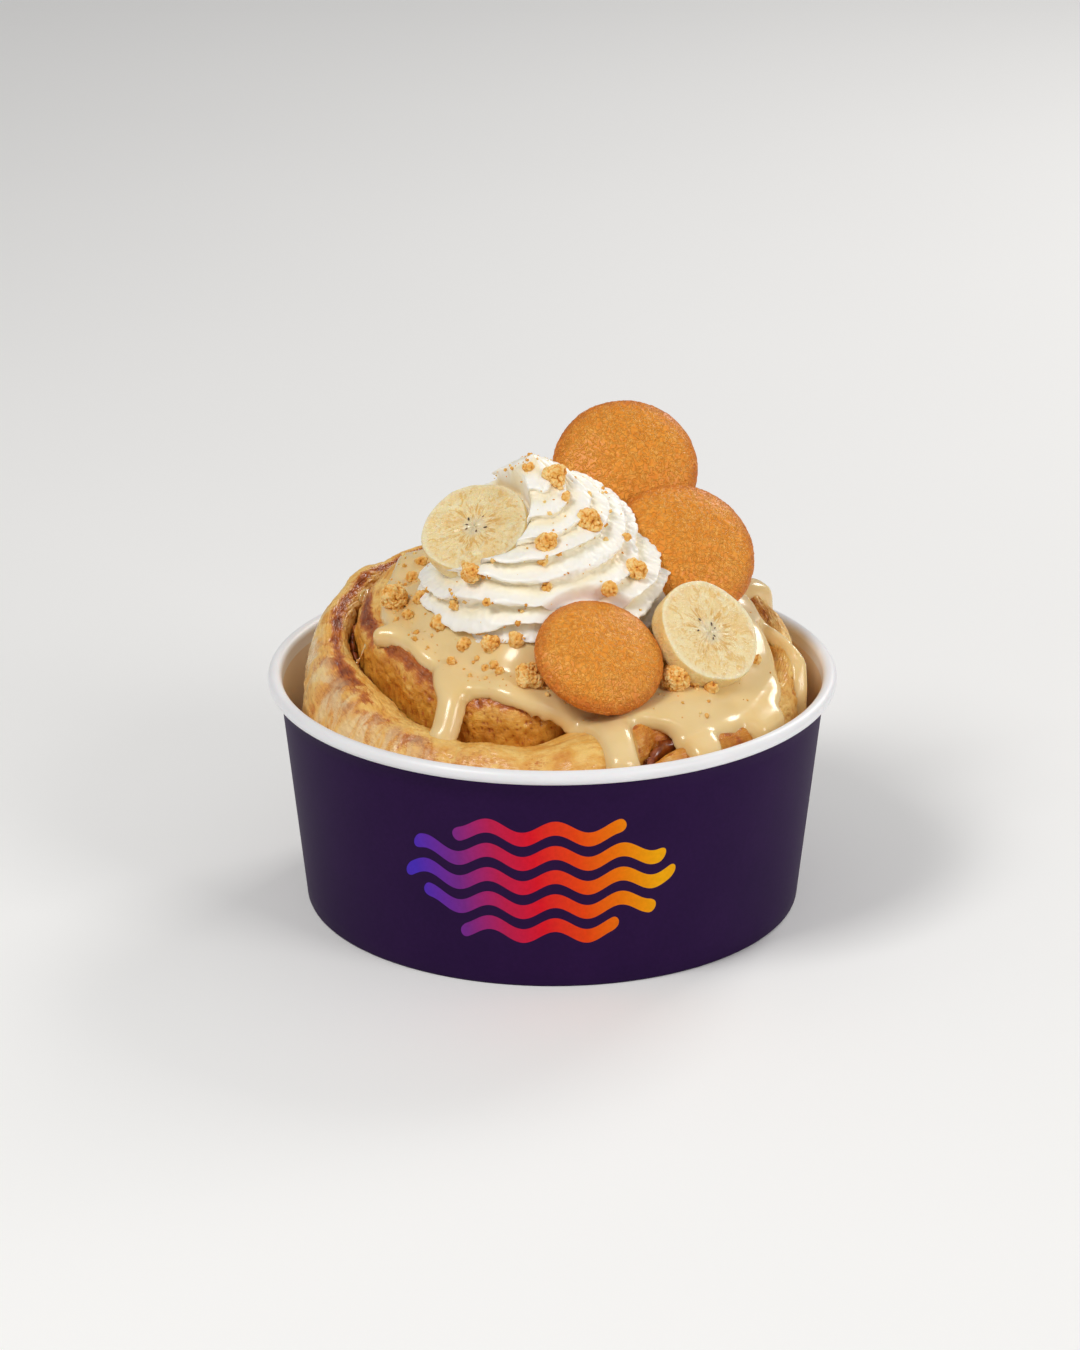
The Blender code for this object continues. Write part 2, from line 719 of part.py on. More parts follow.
def make_slice(name, materials, collection):
    """A banana slice: five soft corners, a slightly bulging wall, bevelled edges."""
    radius, thickness, middle, facing = SLICES[name]
    bm = bmesh.new()
    rings = []
    for height, share in ((-0.5, 0.955), (-0.3, 1.0), (0.3, 1.0), (0.5, 0.945)):
        ring = []
        for side in range(SLICE_SIDES):
            azimuth = 360.0 * side / SLICE_SIDES
            corner = 1.0 + 0.012 * math.cos(math.radians(5 * azimuth + 20))
            corner += 0.015 * math.cos(math.radians(2 * azimuth - 50))
            ring.append(polar(radius * share * corner, azimuth, height * thickness))
        rings.append(ring)
    loft(bm, rings)
    banana = object_from(bm, name, materials["banana"], collection)
    banana.matrix_world = facing_matrix(middle, facing)
    return banana


def make_nugget(name, size, place, detail, seed, materials, collection):
    """A broken bit of biscuit: a rough boxy lump."""
    rng = random.Random(seed)
    shift = Vector((rng.uniform(-50, 50), rng.uniform(-50, 50), rng.uniform(-50, 50)))
    turn = Matrix.Rotation(rng.uniform(0, 6.28), 3, Vector((rng.random(), rng.random(), 1.0)))
    bm = bmesh.new()
    bmesh.ops.create_icosphere(bm, subdivisions=detail, radius=1.0)
    for vert in bm.verts:
        way = vert.co.normalized()
        boxy = 1.0 / (abs(way.x) ** 4 + abs(way.y) ** 4 + abs(way.z) ** 4) ** 0.25
        rough = 1.0 + 0.3 * noise.noise(way * 1.6 + shift)
        point = turn @ (way * (0.62 + 0.38 * boxy) * rough)
        point.z *= 0.86
        vert.co = MM * (0.46 * size * point + Vector(place))
    return object_from(bm, name, materials["crumb"], collection)


def make_nuggets(materials, collection):
    on_sauce = []
    on_cream = []
    for seed, (name, (size, azimuth, radius)) in enumerate(SAUCE_NUGGETS.items()):
        place = polar(radius, azimuth, sauce_top(radius, azimuth) + 0.26 * size)
        on_sauce.append(make_nugget(name, size, place, 2, seed + 3, materials, collection))
    for seed, (name, (size, azimuth, share)) in enumerate(CREAM_NUGGETS.items()):
        place = cream_point(share, azimuth, out=0.14 * size)
        on_cream.append(make_nugget(name, size, place, 2, seed + 30, materials, collection))
    return on_sauce, on_cream


def loose_crumbs(places, materials, collection):
    made = []
    for seed, (size, place) in enumerate(places):
        name = f"bit_{seed}"
        made.append(make_nugget(name, size, place, 1, 100 + seed, materials, collection))
    return made


def clear_scene():
    for old in list(bpy.data.objects):
        bpy.data.objects.remove(old)
    for old in list(bpy.data.collections):
        bpy.data.collections.remove(old)


def main():
    clear_scene()
    collection = bpy.data.collections.new("banana_pudding_roll")
    cutters = bpy.data.collections.new("cutters")
    bpy.context.scene.collection.children.link(collection)
    bpy.context.scene.collection.children.link(cutters)
    materials = make_materials()

    make_bowl(materials, collection)
    dough = make_dough(materials, collection)
    filling = make_filling(materials, collection)
    wafers = [make_wafer(name, materials, collection) for name in WAFERS]
    slices = [make_slice(name, materials, collection) for name in SLICES]
    sauce_nuggets, cream_nuggets = make_nuggets(materials, collection)
    toppings = wafers + slices
    for nugget in sauce_nuggets + cream_nuggets:
        combine(nugget, "DIFFERENCE", [grown(piece, cutters) for piece in toppings], "cut_nugget")

    sauce = make_sauce_block(materials, collection)
    runs = [make_run(*values, materials, collection) for values in SAUCE_RUNS]
    bits = loose_crumbs(
        [
            (size, polar(radius, azimuth, sauce_top(radius, azimuth) + 0.22 * size))
            for size, azimuth, radius in SAUCE_CRUMBS
        ],
        materials,
        collection,
    )
    combine(sauce, "UNION", runs, "join_runs")
    under_cream = [grown(piece, cutters) for piece in [sauce, *bits]]
    combine(sauce, "UNION", bits, "join_crumbs")
    cut = [grown(piece, cutters) for piece in [dough, filling, *toppings, *sauce_nuggets]]
    cut.append(make_bed(materials, cutters))
    combine(sauce, "DIFFERENCE", cut, "cut_sauce")
    keep_largest(sauce)

    cream = make_cream(materials, collection)
    bits = loose_crumbs(
        [(size, cream_point(share, azimuth, 0.1 * size)) for size, azimuth, share in CREAM_CRUMBS],
        materials,
        collection,
    )
    combine(cream, "UNION", bits, "join_crumbs")
    cut = [grown(piece, cutters) for piece in [dough, *toppings, *cream_nuggets, *sauce_nuggets]]
    combine(cream, "DIFFERENCE", [*under_cream, *cut], "cut_cream")
    keep_largest(cream)


main()
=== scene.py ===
# A large spiral bun under banana pudding sauce in a paper bowl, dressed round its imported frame.
# Lengths in the dictionaries are millimetres and angles are degrees. The front faces -Y.

import math
import random

import bmesh
import bpy
from mathutils import Matrix, Vector, noise
from mathutils.bvhtree import BVHTree
from mathutils.kdtree import KDTree


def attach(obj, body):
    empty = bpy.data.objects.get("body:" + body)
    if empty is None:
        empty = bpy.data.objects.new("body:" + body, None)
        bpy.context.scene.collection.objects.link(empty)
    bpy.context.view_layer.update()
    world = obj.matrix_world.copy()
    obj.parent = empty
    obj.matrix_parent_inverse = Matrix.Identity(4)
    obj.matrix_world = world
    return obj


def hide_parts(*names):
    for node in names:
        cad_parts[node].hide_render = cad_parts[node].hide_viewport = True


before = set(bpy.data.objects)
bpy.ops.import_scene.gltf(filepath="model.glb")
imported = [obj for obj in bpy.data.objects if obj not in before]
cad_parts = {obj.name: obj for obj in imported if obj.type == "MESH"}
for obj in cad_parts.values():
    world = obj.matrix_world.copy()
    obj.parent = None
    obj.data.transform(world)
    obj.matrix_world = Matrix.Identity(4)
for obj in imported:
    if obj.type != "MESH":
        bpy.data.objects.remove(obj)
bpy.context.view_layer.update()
mm = 0.001
fine = 1.0  # share of the full mesh density
print("frame loaded:", len(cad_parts), "nodes")


# Small helpers


def clamp(value, low=0.0, high=1.0):
    return max(low, min(high, value))


def ease(value):
    t = clamp(value)
    return t * t * (3 - 2 * t)


def between(low, high, value):
    return ease((value - low) / (high - low))


def bell(centre, width, value):
    return math.exp(-(((value - centre) / width) ** 2))


def polar(radius, azimuth, height=0.0):
    angle = math.radians(azimuth)
    return Vector((radius * math.cos(angle), radius * math.sin(angle), height))


def wrapAzimuth(azimuth):
    return (azimuth + 180.0) % 360.0 - 180.0


def smoothCurve(points):
    # a function that passes through the points with an even slope
    xs = [float(point[0]) for point in points]
    ys = [float(point[1]) for point in points]
    slopes = [0.0] * len(xs)
    for i in range(1, len(xs) - 1):
        slopes[i] = (ys[i + 1] - ys[i - 1]) / (xs[i + 1] - xs[i - 1])

    def curve(x):
        if x <= xs[0]:
            return ys[0]
        if x >= xs[-1]:
            return ys[-1]
        i = 0
        while xs[i + 1] < x:
            i += 1
        span = xs[i + 1] - xs[i]
        t = (x - xs[i]) / span
        rise = (2 * t**3 - 3 * t**2 + 1) * ys[i] + (3 * t**2 - 2 * t**3) * ys[i + 1]
        return rise + span * ((t**3 - 2 * t**2 + t) * slopes[i] + (t**3 - t**2) * slopes[i + 1])

    return curve


def rough(point, size, shift=0.0):
    # smooth noise from -1 to 1 with lumps of that size
    return noise.noise(Vector((point[0] / size + shift, point[1] / size - shift, point[2] / size)))


def linear(level):
    share = level / 255.0
    return share / 12.92 if share <= 0.04045 else ((share + 0.055) / 1.055) ** 2.4


def paint(red, green, blue):
    return (linear(red), linear(green), linear(blue), 1.0)


# Mesh helpers


def bentGrid(columns, rows, place):
    # a flat grid bent to a surface: place gives a point in millimetres from two shares
    bm = bmesh.new()
    bmesh.ops.create_grid(bm, x_segments=columns, y_segments=rows, size=0.5)
    layer = bm.loops.layers.uv.new("UVMap")
    for face in bm.faces:
        for loop in face.loops:
            loop[layer].uv = (loop.vert.co.x + 0.5, loop.vert.co.y + 0.5)
    for vert in bm.verts:
        vert.co = mm * place(vert.co.x + 0.5, vert.co.y + 0.5)
    bmesh.ops.remove_doubles(bm, verts=bm.verts, dist=0.00001)
    return bm


def spinProfile(profile, steps):
    # a profile of (radius, height) in millimetres turned once round Z
    bm = bmesh.new()
    verts = [bm.verts.new((mm * radius, 0.0, mm * height)) for radius, height in profile]
    edges = [bm.edges.new(pair) for pair in zip(verts, verts[1:])]
    bmesh.ops.spin(
        bm, geom=verts + edges, cent=(0, 0, 0), axis=(0, 0, 1), angle=2 * math.pi,
        steps=steps, use_merge=True, use_duplicate=False,
    )
    bmesh.ops.remove_doubles(bm, verts=bm.verts, dist=0.000002)
    return bm


def closeUp(bm):
    rim = [edge for edge in bm.edges if edge.is_boundary]
    if rim:
        bmesh.ops.holes_fill(bm, edges=rim, sides=0)
    bmesh.ops.recalc_face_normals(bm, faces=bm.faces)
    if bm.calc_volume(signed=True) < 0.0:
        bmesh.ops.reverse_faces(bm, faces=bm.faces)
    bm.normal_update()


def displace(bm, depth):
    # moves each vertex along its normal by depth(point in millimetres, vert) millimetres
    bm.normal_update()
    moves = [depth(vert.co / mm, vert) * vert.normal for vert in bm.verts]
    for vert, move in zip(bm.verts, moves):
        vert.co += mm * move
    bm.normal_update()


def toObject(bm, name, *materials):
    mesh = bpy.data.meshes.new(name)
    bm.to_mesh(mesh)
    bm.free()
    for material in materials:
        mesh.materials.append(material)
    mesh.shade_smooth()
    made = bpy.data.objects.new(name, mesh)
    bpy.context.scene.collection.objects.link(made)
    return made


def pieceName(node):
    return node.replace("_", " ").title().replace(" ", "")


def settle(made, slot, *nodes):
    # a finished piece rides on the one body and stands for its CAD nodes
    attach(made, "root")
    if nodes:
        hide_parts(*nodes)
    print(made.name, len(made.data.polygons), "faces")
    return made


def voxelSkin(bm, voxel):
    # one even skin round closed shapes that may cross one another
    source = toObject(bm, "voxelSource")
    remesh = source.modifiers.new("Remesh", "REMESH")
    remesh.mode = "VOXEL"
    remesh.voxel_size = mm * voxel
    graph = bpy.context.evaluated_depsgraph_get()
    mesh = bpy.data.meshes.new_from_object(source.evaluated_get(graph))
    bpy.data.objects.remove(source)
    made = bmesh.new()
    made.from_mesh(mesh)
    bpy.data.meshes.remove(mesh)
    return made


def smoothed(bm, rounds, factor=0.5):
    for _ in range(rounds):
        bmesh.ops.smooth_vert(
            bm, verts=bm.verts, factor=factor, use_axis_x=True, use_axis_y=True, use_axis_z=True
        )
    bm.normal_update()


# Material helpers


def startMaterial(name, **values):
    material = bpy.data.materials.new(name)
    material.use_nodes = True
    shader = material.node_tree.nodes["Principled BSDF"]
    for key, value in values.items():
        shader.inputs[key.replace("_", " ")].default_value = value
    return material, material.node_tree, shader


def addNode(tree, kind, inputs=None, **settings):
    made = tree.nodes.new("ShaderNode" + kind)
    for key, value in settings.items():
        setattr(made, key, value)
    for key, value in (inputs or {}).items():
        if isinstance(value, bpy.types.NodeSocket):
            tree.links.new(value, made.inputs[key])
        else:
            made.inputs[key].default_value = value
    return made


def noiseOf(tree, vector, scale, detail=3.0, distortion=0.0, roughness=0.5):
    made = addNode(tree, "TexNoise", {
        "Vector": vector, "Scale": scale, "Detail": detail,
        "Distortion": distortion, "Roughness": roughness,
    })
    return made.outputs["Fac"]


def rampOf(tree, factor, *stops):
    # stops are (place, colour) or (place, grey level)
    made = addNode(tree, "ValToRGB", {"Fac": factor})
    elements = made.color_ramp.elements
    while len(elements) < len(stops):
        elements.new(0.5)
    for element, (place, colour) in zip(elements, stops):
        element.position = place
        element.color = colour if isinstance(colour, tuple) else (colour, colour, colour, 1.0)
    return made.outputs["Color"]


def mixOf(tree, factor, first, second, mode="MIX"):
    made = tree.nodes.new("ShaderNodeMix")
    made.data_type = "RGBA"
    made.blend_type = mode
    for index, value in ((0, factor), (6, first), (7, second)):
        if isinstance(value, bpy.types.NodeSocket):
            tree.links.new(value, made.inputs[index])
        else:
            made.inputs[index].default_value = value
    return made.outputs[2]


def mathOf(tree, operation, *values, clampIt=False):
    made = tree.nodes.new("ShaderNodeMath")
    made.operation = operation
    made.use_clamp = clampIt
    for index, value in enumerate(values):
        if isinstance(value, bpy.types.NodeSocket):
            tree.links.new(value, made.inputs[index])
        else:
            made.inputs[index].default_value = value
    return made.outputs[0]


def rangeOf(tree, value, low, high, toLow=0.0, toHigh=1.0):
    made = addNode(tree, "MapRange", {0: value, 1: low, 2: high, 3: toLow, 4: toHigh})
    made.interpolation_type = "SMOOTHSTEP"
    return made.outputs[0]


def bumpOf(tree, height, strength, distance, before=None):
    inputs = {"Height": height, "Strength": strength, "Distance": distance * mm}
    if before is not None:
        inputs["Normal"] = before
    return addNode(tree, "Bump", inputs).outputs["Normal"]


def objectPlace(tree):
    return addNode(tree, "TexCoord").outputs["Object"]


def toneMasks(tree):
    # red, green, blue and alpha of the vertices' tone
    tone = addNode(tree, "Attribute", attribute_name="tone").outputs
    return (*addNode(tree, "SeparateColor", {"Color": tone["Color"]}).outputs, tone["Alpha"])


def timesOf(tree, first, second):
    return mathOf(tree, "MULTIPLY", first, second)


def meanOf(tree, first, second):
    return mathOf(tree, "ADD", timesOf(tree, first, 0.5), timesOf(tree, second, 0.5))


def stirred(tree, value, cloud, amount, clampIt=False):
    # a value made uneven by a noise that lies round a half
    swing = timesOf(tree, mathOf(tree, "SUBTRACT", cloud, 0.5), amount)
    return mathOf(tree, "ADD", value, swing, clampIt=clampIt)


def crinkleOf(tree, vector, scale, distortion):
    # how far from the winding lines where a noise crosses a half
    swirl = noiseOf(tree, vector, scale, 1.0, distortion)
    return mathOf(tree, "ABSOLUTE", mathOf(tree, "SUBTRACT", swirl, 0.5))


def dotsOf(tree, vector, scale):
    # distance from the nearest of some scattered points
    inputs = {"Vector": vector, "Scale": scale, "Randomness": 1.0}
    return addNode(tree, "TexVoronoi", inputs).outputs["Distance"]


def wire(tree, shader, **sockets):
    for key, value in sockets.items():
        tree.links.new(value, shader.inputs[key.replace("_", " ")])


# The camera, at the photograph's angle

view = {
    "elevation": 21.22,
    "distance": 1500.0,
    "lens": 150.7,
    "sensor": 36.0,
    "aimRight": -3.26,
    "aimUp": 27.1,  # along the picture's upright
    "middleHeight": 31.5,
}


def makeCamera():
    rise = math.radians(view["elevation"])
    upright = Vector((0.0, math.sin(rise), math.cos(rise)))
    towards = Vector((0.0, -math.cos(rise), math.sin(rise)))
    aim = Vector((view["aimRight"], 0.0, view["middleHeight"])) + view["aimUp"] * upright
    data = bpy.data.cameras.new("camera")
    data.lens = view["lens"]
    data.sensor_width = view["sensor"]
    data.clip_start = 0.05
    data.clip_end = 20.0
    camera = bpy.data.objects.new("camera", data)
    camera.location = mm * (aim + view["distance"] * towards)
    camera.rotation_euler = (-towards).to_track_quat("-Z", "Y").to_euler()
    bpy.context.scene.collection.objects.link(camera)
    bpy.context.scene.camera = camera


makeCamera()
print("camera placed")


# Lights and floor: (name, place in metres, size in metres, power, colour)

studio = {
    "lights": (
        ("keyLight", (-0.55, -0.5, 1.0), 0.4, 6.5, (1.0, 0.985, 0.955)),
        ("fillLight", (0.85, -0.7, 0.7), 0.5, 4.6, (1.0, 0.985, 0.96)),
        ("backLight", (0.55, 0.8, 0.7), 0.4, 3.8, (1.0, 0.98, 0.95)),
        ("sideLight", (1.2, -0.3, 0.05), 0.5, 1.0, (1.0, 0.99, 0.98)),
    ),
    "aim": (0.0, 0.0, 0.07),
    "skyStrength": 0.3,
    "floorHalf": 4.0,  # metres
    "floorLevel": 250,
}


def makeStudio():
    for name, place, size, power, colour in studio["lights"]:
        data = bpy.data.lights.new(name, "AREA")
        data.size = size
        data.energy = power
        data.color = colour
        light = bpy.data.objects.new(name, data)
        light.location = place
        turn = (Vector(studio["aim"]) - Vector(place)).to_track_quat("-Z", "Y")
        light.rotation_euler = turn.to_euler()
        bpy.context.scene.collection.objects.link(light)
    world = bpy.data.worlds.new("studioSky")
    world.use_nodes = True
    sky = world.node_tree.nodes["Background"]
    sky.inputs["Color"].default_value = (1.0, 1.0, 1.0, 1.0)
    sky.inputs["Strength"].default_value = studio["skyStrength"]
    bpy.context.scene.world = world
    bpy.context.scene.view_settings.view_transform = "Standard"
    bm = bmesh.new()
    bmesh.ops.create_grid(bm, x_segments=2, y_segments=2, size=studio["floorHalf"])
    material, tree, shader = startMaterial("paleFloor", Roughness=0.85)
    level = studio["floorLevel"]
    shade = noiseOf(tree, objectPlace(tree), 3.0)
    dark = paint(level - 2, level - 2, level - 2)
    wire(tree, shader, Base_Color=rampOf(tree, shade, (0.3, dark), (0.7, paint(level, level, level))))
    toObject(bm, "floor", material)


makeStudio()
print("studio lit")


# Paper bowl

bowl = {
    "height": 63.0,
    "footRadius": 65.2,
    "wallTopRadius": 71.9,
    "wallTopHeight": 60.0,
    "wallThickness": 0.75,
    "rimRadius": 74.95,
    "rimBead": 1.85,
    "floorUnder": 4.6,
    "floorTop": 5.4,
    "skirtThickness": 1.8,
    "seamAzimuth": 104.0,  # where the sleeve's paper overlaps, at the back
    "seamWidth": 9.0,
    "seamLift": 0.28,
    "seamEdge": 0.816,
    "meanRadius": 68.0,
    "floorFillet": 1.2,
    "rimCurl": (192.0, -108.0),  # angles round the bead, from the lining over to the outside
    "underRim": 1.3,
    "footEdge": 0.8,
    "footRounding": ((0.1, 0.35), (0.45, 0.0)),  # inset, height
    "skirtRounding": 0.4,
    "steps": 256,
}
bowlPrint = {
    "radius": 68.5,
    "middle": -93.0,  # azimuth
    "halfWidth": 34.0,
    "rows": ((44.5, 20.0), (37.5, 31.0), (30.5, 34.0), (23.5, 29.0), (16.5, 19.0)),  # height, half width
    "band": 2.0,  # half the height of a ribbon
    "wave": 1.7,
    "waveLength": 17.0,
}


def wallRadius(height):
    rise = (bowl["wallTopRadius"] - bowl["footRadius"]) / bowl["wallTopHeight"]
    return bowl["footRadius"] + rise * height


def bowlProfile():
    beadRadius = bowl["rimRadius"] - bowl["rimBead"]
    beadHeight = bowl["height"] - bowl["rimBead"]
    floorTop, fillet = bowl["floorTop"], bowl["floorFillet"]
    foot = wallRadius(floorTop) - bowl["wallThickness"]
    profile = [(foot * share, floorTop) for share in (0.0, 0.3, 0.6, 0.9)]
    for step in range(4):
        angle = math.radians(-90 + 30 * step)
        profile.append((foot + fillet * (math.cos(angle) - 1), floorTop + fillet * (math.sin(angle) + 1)))
    for step in range(1, 12):
        height = floorTop + fillet + step * (bowl["wallTopHeight"] - floorTop - 2 * fillet) / 11
        profile.append((wallRadius(height) - bowl["wallThickness"], height))
    curlStart, curlEnd = bowl["rimCurl"]
    for step in range(25):
        angle = math.radians(curlStart + (curlEnd - curlStart) * step / 24)
        profile.append((
            beadRadius + bowl["rimBead"] * math.cos(angle), beadHeight + bowl["rimBead"] * math.sin(angle)
        ))
    outer = bowl["wallTopHeight"] - bowl["underRim"]
    for step in range(15):
        height = outer - step * (outer - bowl["footEdge"]) / 14
        profile.append((wallRadius(height), height))
    profile += [(bowl["footRadius"] - inset, height) for inset, height in bowl["footRounding"]]
    skirt = bowl["footRadius"] - bowl["skirtThickness"]
    rounding = bowl["skirtRounding"]
    profile += [(skirt + rounding, 0.0), (skirt, rounding), (skirt + rounding, bowl["floorUnder"])]
    for share in (0.66, 0.33, 0.0):
        profile.append((skirt * share, bowl["floorUnder"]))
    return profile


def printMaterial():
    # wavy ribbons, coloured from left to right, on dark paper
    material, tree, shader = startMaterial("printedPaper", Roughness=0.5, Specular_IOR_Level=0.05)
    place = objectPlace(tree)
    x, y, z = addNode(tree, "SeparateXYZ", {"Vector": place}).outputs
    angle = mathOf(tree, "ARCTAN2", x, timesOf(tree, y, -1.0))
    offset = math.radians(bowlPrint["middle"] + 90.0)
    across = timesOf(tree, mathOf(tree, "SUBTRACT", angle, offset), bowlPrint["radius"])
    up = timesOf(tree, z, 1 / mm)
    swing = mathOf(tree, "SINE", timesOf(tree, across, 2 * math.pi / bowlPrint["waveLength"]))
    waved = mathOf(tree, "SUBTRACT", up, timesOf(tree, swing, bowlPrint["wave"]))
    covered = None
    for height, half in bowlPrint["rows"]:
        past = mathOf(tree, "SUBTRACT", mathOf(tree, "ABSOLUTE", across), half)
        beyond = mathOf(tree, "POWER", mathOf(tree, "MAXIMUM", past, 0.0), 2.0)
        away = mathOf(tree, "POWER", mathOf(tree, "SUBTRACT", waved, height), 2.0)
        far = mathOf(tree, "SQRT", mathOf(tree, "ADD", beyond, away))
        ribbon = rangeOf(tree, far, bowlPrint["band"] + 0.06, bowlPrint["band"] - 0.06)
        covered = ribbon if covered is None else mathOf(tree, "MAXIMUM", covered, ribbon)
    covered = timesOf(tree, covered, rangeOf(tree, y, 0.0, -0.01))  # on the front alone
    slant = mathOf(tree, "ADD", across, timesOf(tree, up, 0.12))
    along = mathOf(tree, "ADD", mathOf(tree, "DIVIDE", slant, 2 * bowlPrint["halfWidth"]), 0.45)
    inks = rampOf(
        tree, along, (0.02, paint(78, 48, 190)), (0.2, paint(128, 45, 140)), (0.36, paint(196, 34, 80)),
        (0.5, paint(228, 26, 42)), (0.66, paint(240, 72, 20)), (0.8, paint(244, 118, 8)),
        (0.97, paint(248, 172, 10)),
    )
    fibre = noiseOf(tree, place, 900.0, 4.0)
    cloud = noiseOf(tree, place, 60.0, 3.0)
    ground = mixOf(tree, cloud, paint(39, 17, 59), paint(48, 22, 68))
    speck = rampOf(tree, fibre, (0.35, 0.86), (0.65, 1.0))
    colour = mixOf(tree, 0.6, mixOf(tree, covered, ground, inks), speck, "MULTIPLY")
    wire(tree, shader, Base_Color=colour, Normal=bumpOf(tree, fibre, 0.18, 0.05))
    return material


def paperMaterial(name, dark, light):
    material, tree, shader = startMaterial(
        name, Roughness=0.38, Subsurface_Weight=0.05, Subsurface_Scale=0.002
    )
    place = objectPlace(tree)
    fibre = noiseOf(tree, place, 700.0, 4.0)
    cloud = noiseOf(tree, place, 45.0, 2.0)
    colour = rampOf(tree, cloud, (0.3, dark), (0.7, light))
    wire(tree, shader, Base_Color=colour, Normal=bumpOf(tree, fibre, 0.15, 0.05))
    return material


def makeBowl():
    bm = spinProfile(bowlProfile(), bowl["steps"])
    closeUp(bm)
    half = bowl["seamWidth"] / 2
    for vert in bm.verts:
        radius = math.hypot(vert.co.x, vert.co.y) / mm
        height = vert.co.z / mm
        if radius > wallRadius(height) - 0.3 and 0.5 < height < bowl["wallTopHeight"] - 1.0:
            azimuth = math.degrees(math.atan2(vert.co.y, vert.co.x))
            away = abs(math.radians(wrapAzimuth(azimuth - bowl["seamAzimuth"]))) * bowl["meanRadius"]
            lift = bowl["seamLift"] * (1 - between(half, half + bowl["seamEdge"], away))
            vert.co.xy *= 1 + lift / radius
    for face in bm.faces:
        middle = face.calc_center_median()
        radius = math.hypot(middle.x, middle.y) / mm
        height = middle.z / mm
        outside = radius > wallRadius(height) - 0.4 and height < bowl["wallTopHeight"] - 1.2
        lining = not outside and bowl["floorTop"] - 0.2 < height < bowl["wallTopHeight"] - 0.6
        face.material_index = 1 if outside else 2 if lining else 0
    rim = paperMaterial("whitePaper", paint(236, 236, 238), paint(243, 243, 246))
    # the lining's warm tan is partly the paper's own tint and partly painted warm light bounced off the bun
    liner = paperMaterial("tanLiningAndPaintedBounce", paint(232, 214, 190), paint(238, 223, 200))
    made = toObject(bm, "paperBowl", rim, printMaterial(), liner)
    return settle(made, "bowl_paper", "paper_bowl")


makeBowl()


# The bun: one strip of dough that winds inward anticlockwise from its tail

bun = {
    "tailAzimuth": -68.0,
    "stripEnd": 1090.0,
    "radius": 65.5,
    "footRadius": 61.0,
    "bottom": 5.82,
    "sideHeight": 42.0,
    "turnGap": 1.9,
    "outerDrop": (13.0, 9.5, 6.0, 6.0),
    "innerDrop": (5.0, 4.5, 4.0, 4.0),
    "outerPower": (1.75, 2.1, 2.2, 2.2),
    "innerPower": 2.2,
    "lump": 0.6,
    # winding angle from the tail, height of the crest
    "crest": (
        (0, 57.5), (12, 60.0), (36, 62), (50, 64), (68, 68), (88, 72.5), (113, 76), (158, 79), (195, 78.5),
        (228, 75.5), (248, 71.0), (270, 66.5), (293, 63.0), (315, 61.2), (336, 62), (350, 65), (372, 67),
        (396, 68.5), (428, 73), (518, 82.5), (555, 82.5), (608, 78.5), (653, 73.5), (690, 71.5), (720, 73),
        (760, 77), (830, 81), (900, 83.5), (1110, 84.5),
    ),
    # winding angle from the tail, radius of the strip's inner face
    "inner": (
        (0, 61), (8, 57), (36, 57), (158, 57.5), (195, 57.6), (212, 56.3), (238, 54.5), (257, 51),
        (270, 48), (293, 47.3), (315, 48.8), (328, 48.5), (338, 43.5), (350, 40), (368, 40),
        (396, 41), (428, 42), (518, 42.5), (555, 43), (608, 37), (653, 31.5), (690, 32), (710, 25),
        (740, 12), (770, 1.5),
    ),
}
crestHeight = smoothCurve(bun["crest"])
innerRadius = smoothCurve(bun["inner"])


def byTurn(values, winding):
    turn = clamp(winding / 360.0, 0.0, 2.999)
    here = int(turn)
    following = min(here + 1, len(values) - 1)
    return values[here] + (values[following] - values[here]) * ease((turn - here - 0.9) / 0.1)


def outerRadius(winding):
    side = bun["radius"] - 1.2 * math.exp(-winding / 6.0)
    if winding < 354.0:
        return side
    tucked = innerRadius(max(winding - 360.0, 0.0)) - bun["turnGap"]
    return side + (tucked - side) * ease((winding - 354.0) / 6.0)


def stripTop(winding, across):
    drop = byTurn(bun["outerDrop"] if across > 0 else bun["innerDrop"], winding)
    power = byTurn(bun["outerPower"], winding) if across > 0 else bun["innerPower"]
    curve = (1.0 - abs(across) ** power) ** (1.0 / power)
    swell = math.sin(math.radians(7 * winding)) + 0.6 * math.sin(math.radians(17 * winding + 40))
    return crestHeight(winding) + bun["lump"] * swell * curve - drop * (1.0 - curve)


def bunTop(radius, azimuth):
    winding = (azimuth - bun["tailAzimuth"]) % 360.0
    if radius >= outerRadius(winding):
        return stripTop(winding, 1.0)
    while winding < bun["stripEnd"]:
        outer = outerRadius(winding)
        inner = innerRadius(winding)
        if radius >= inner - bun["turnGap"] / 2:
            half = max((outer - inner) / 2, 0.1)
            return stripTop(winding, clamp((radius - inner - half) / half, -1.0, 1.0))
        winding += 360.0
    return crestHeight(bun["stripEnd"])


cover = {
    "turnSteps": 720,
    "step": 0.75,  # between radii
    "reach": 8,  # steps over which a crease is bridged
    "sag": 7.0,  # larger bridges flatter
    "smoothing": 3,
}


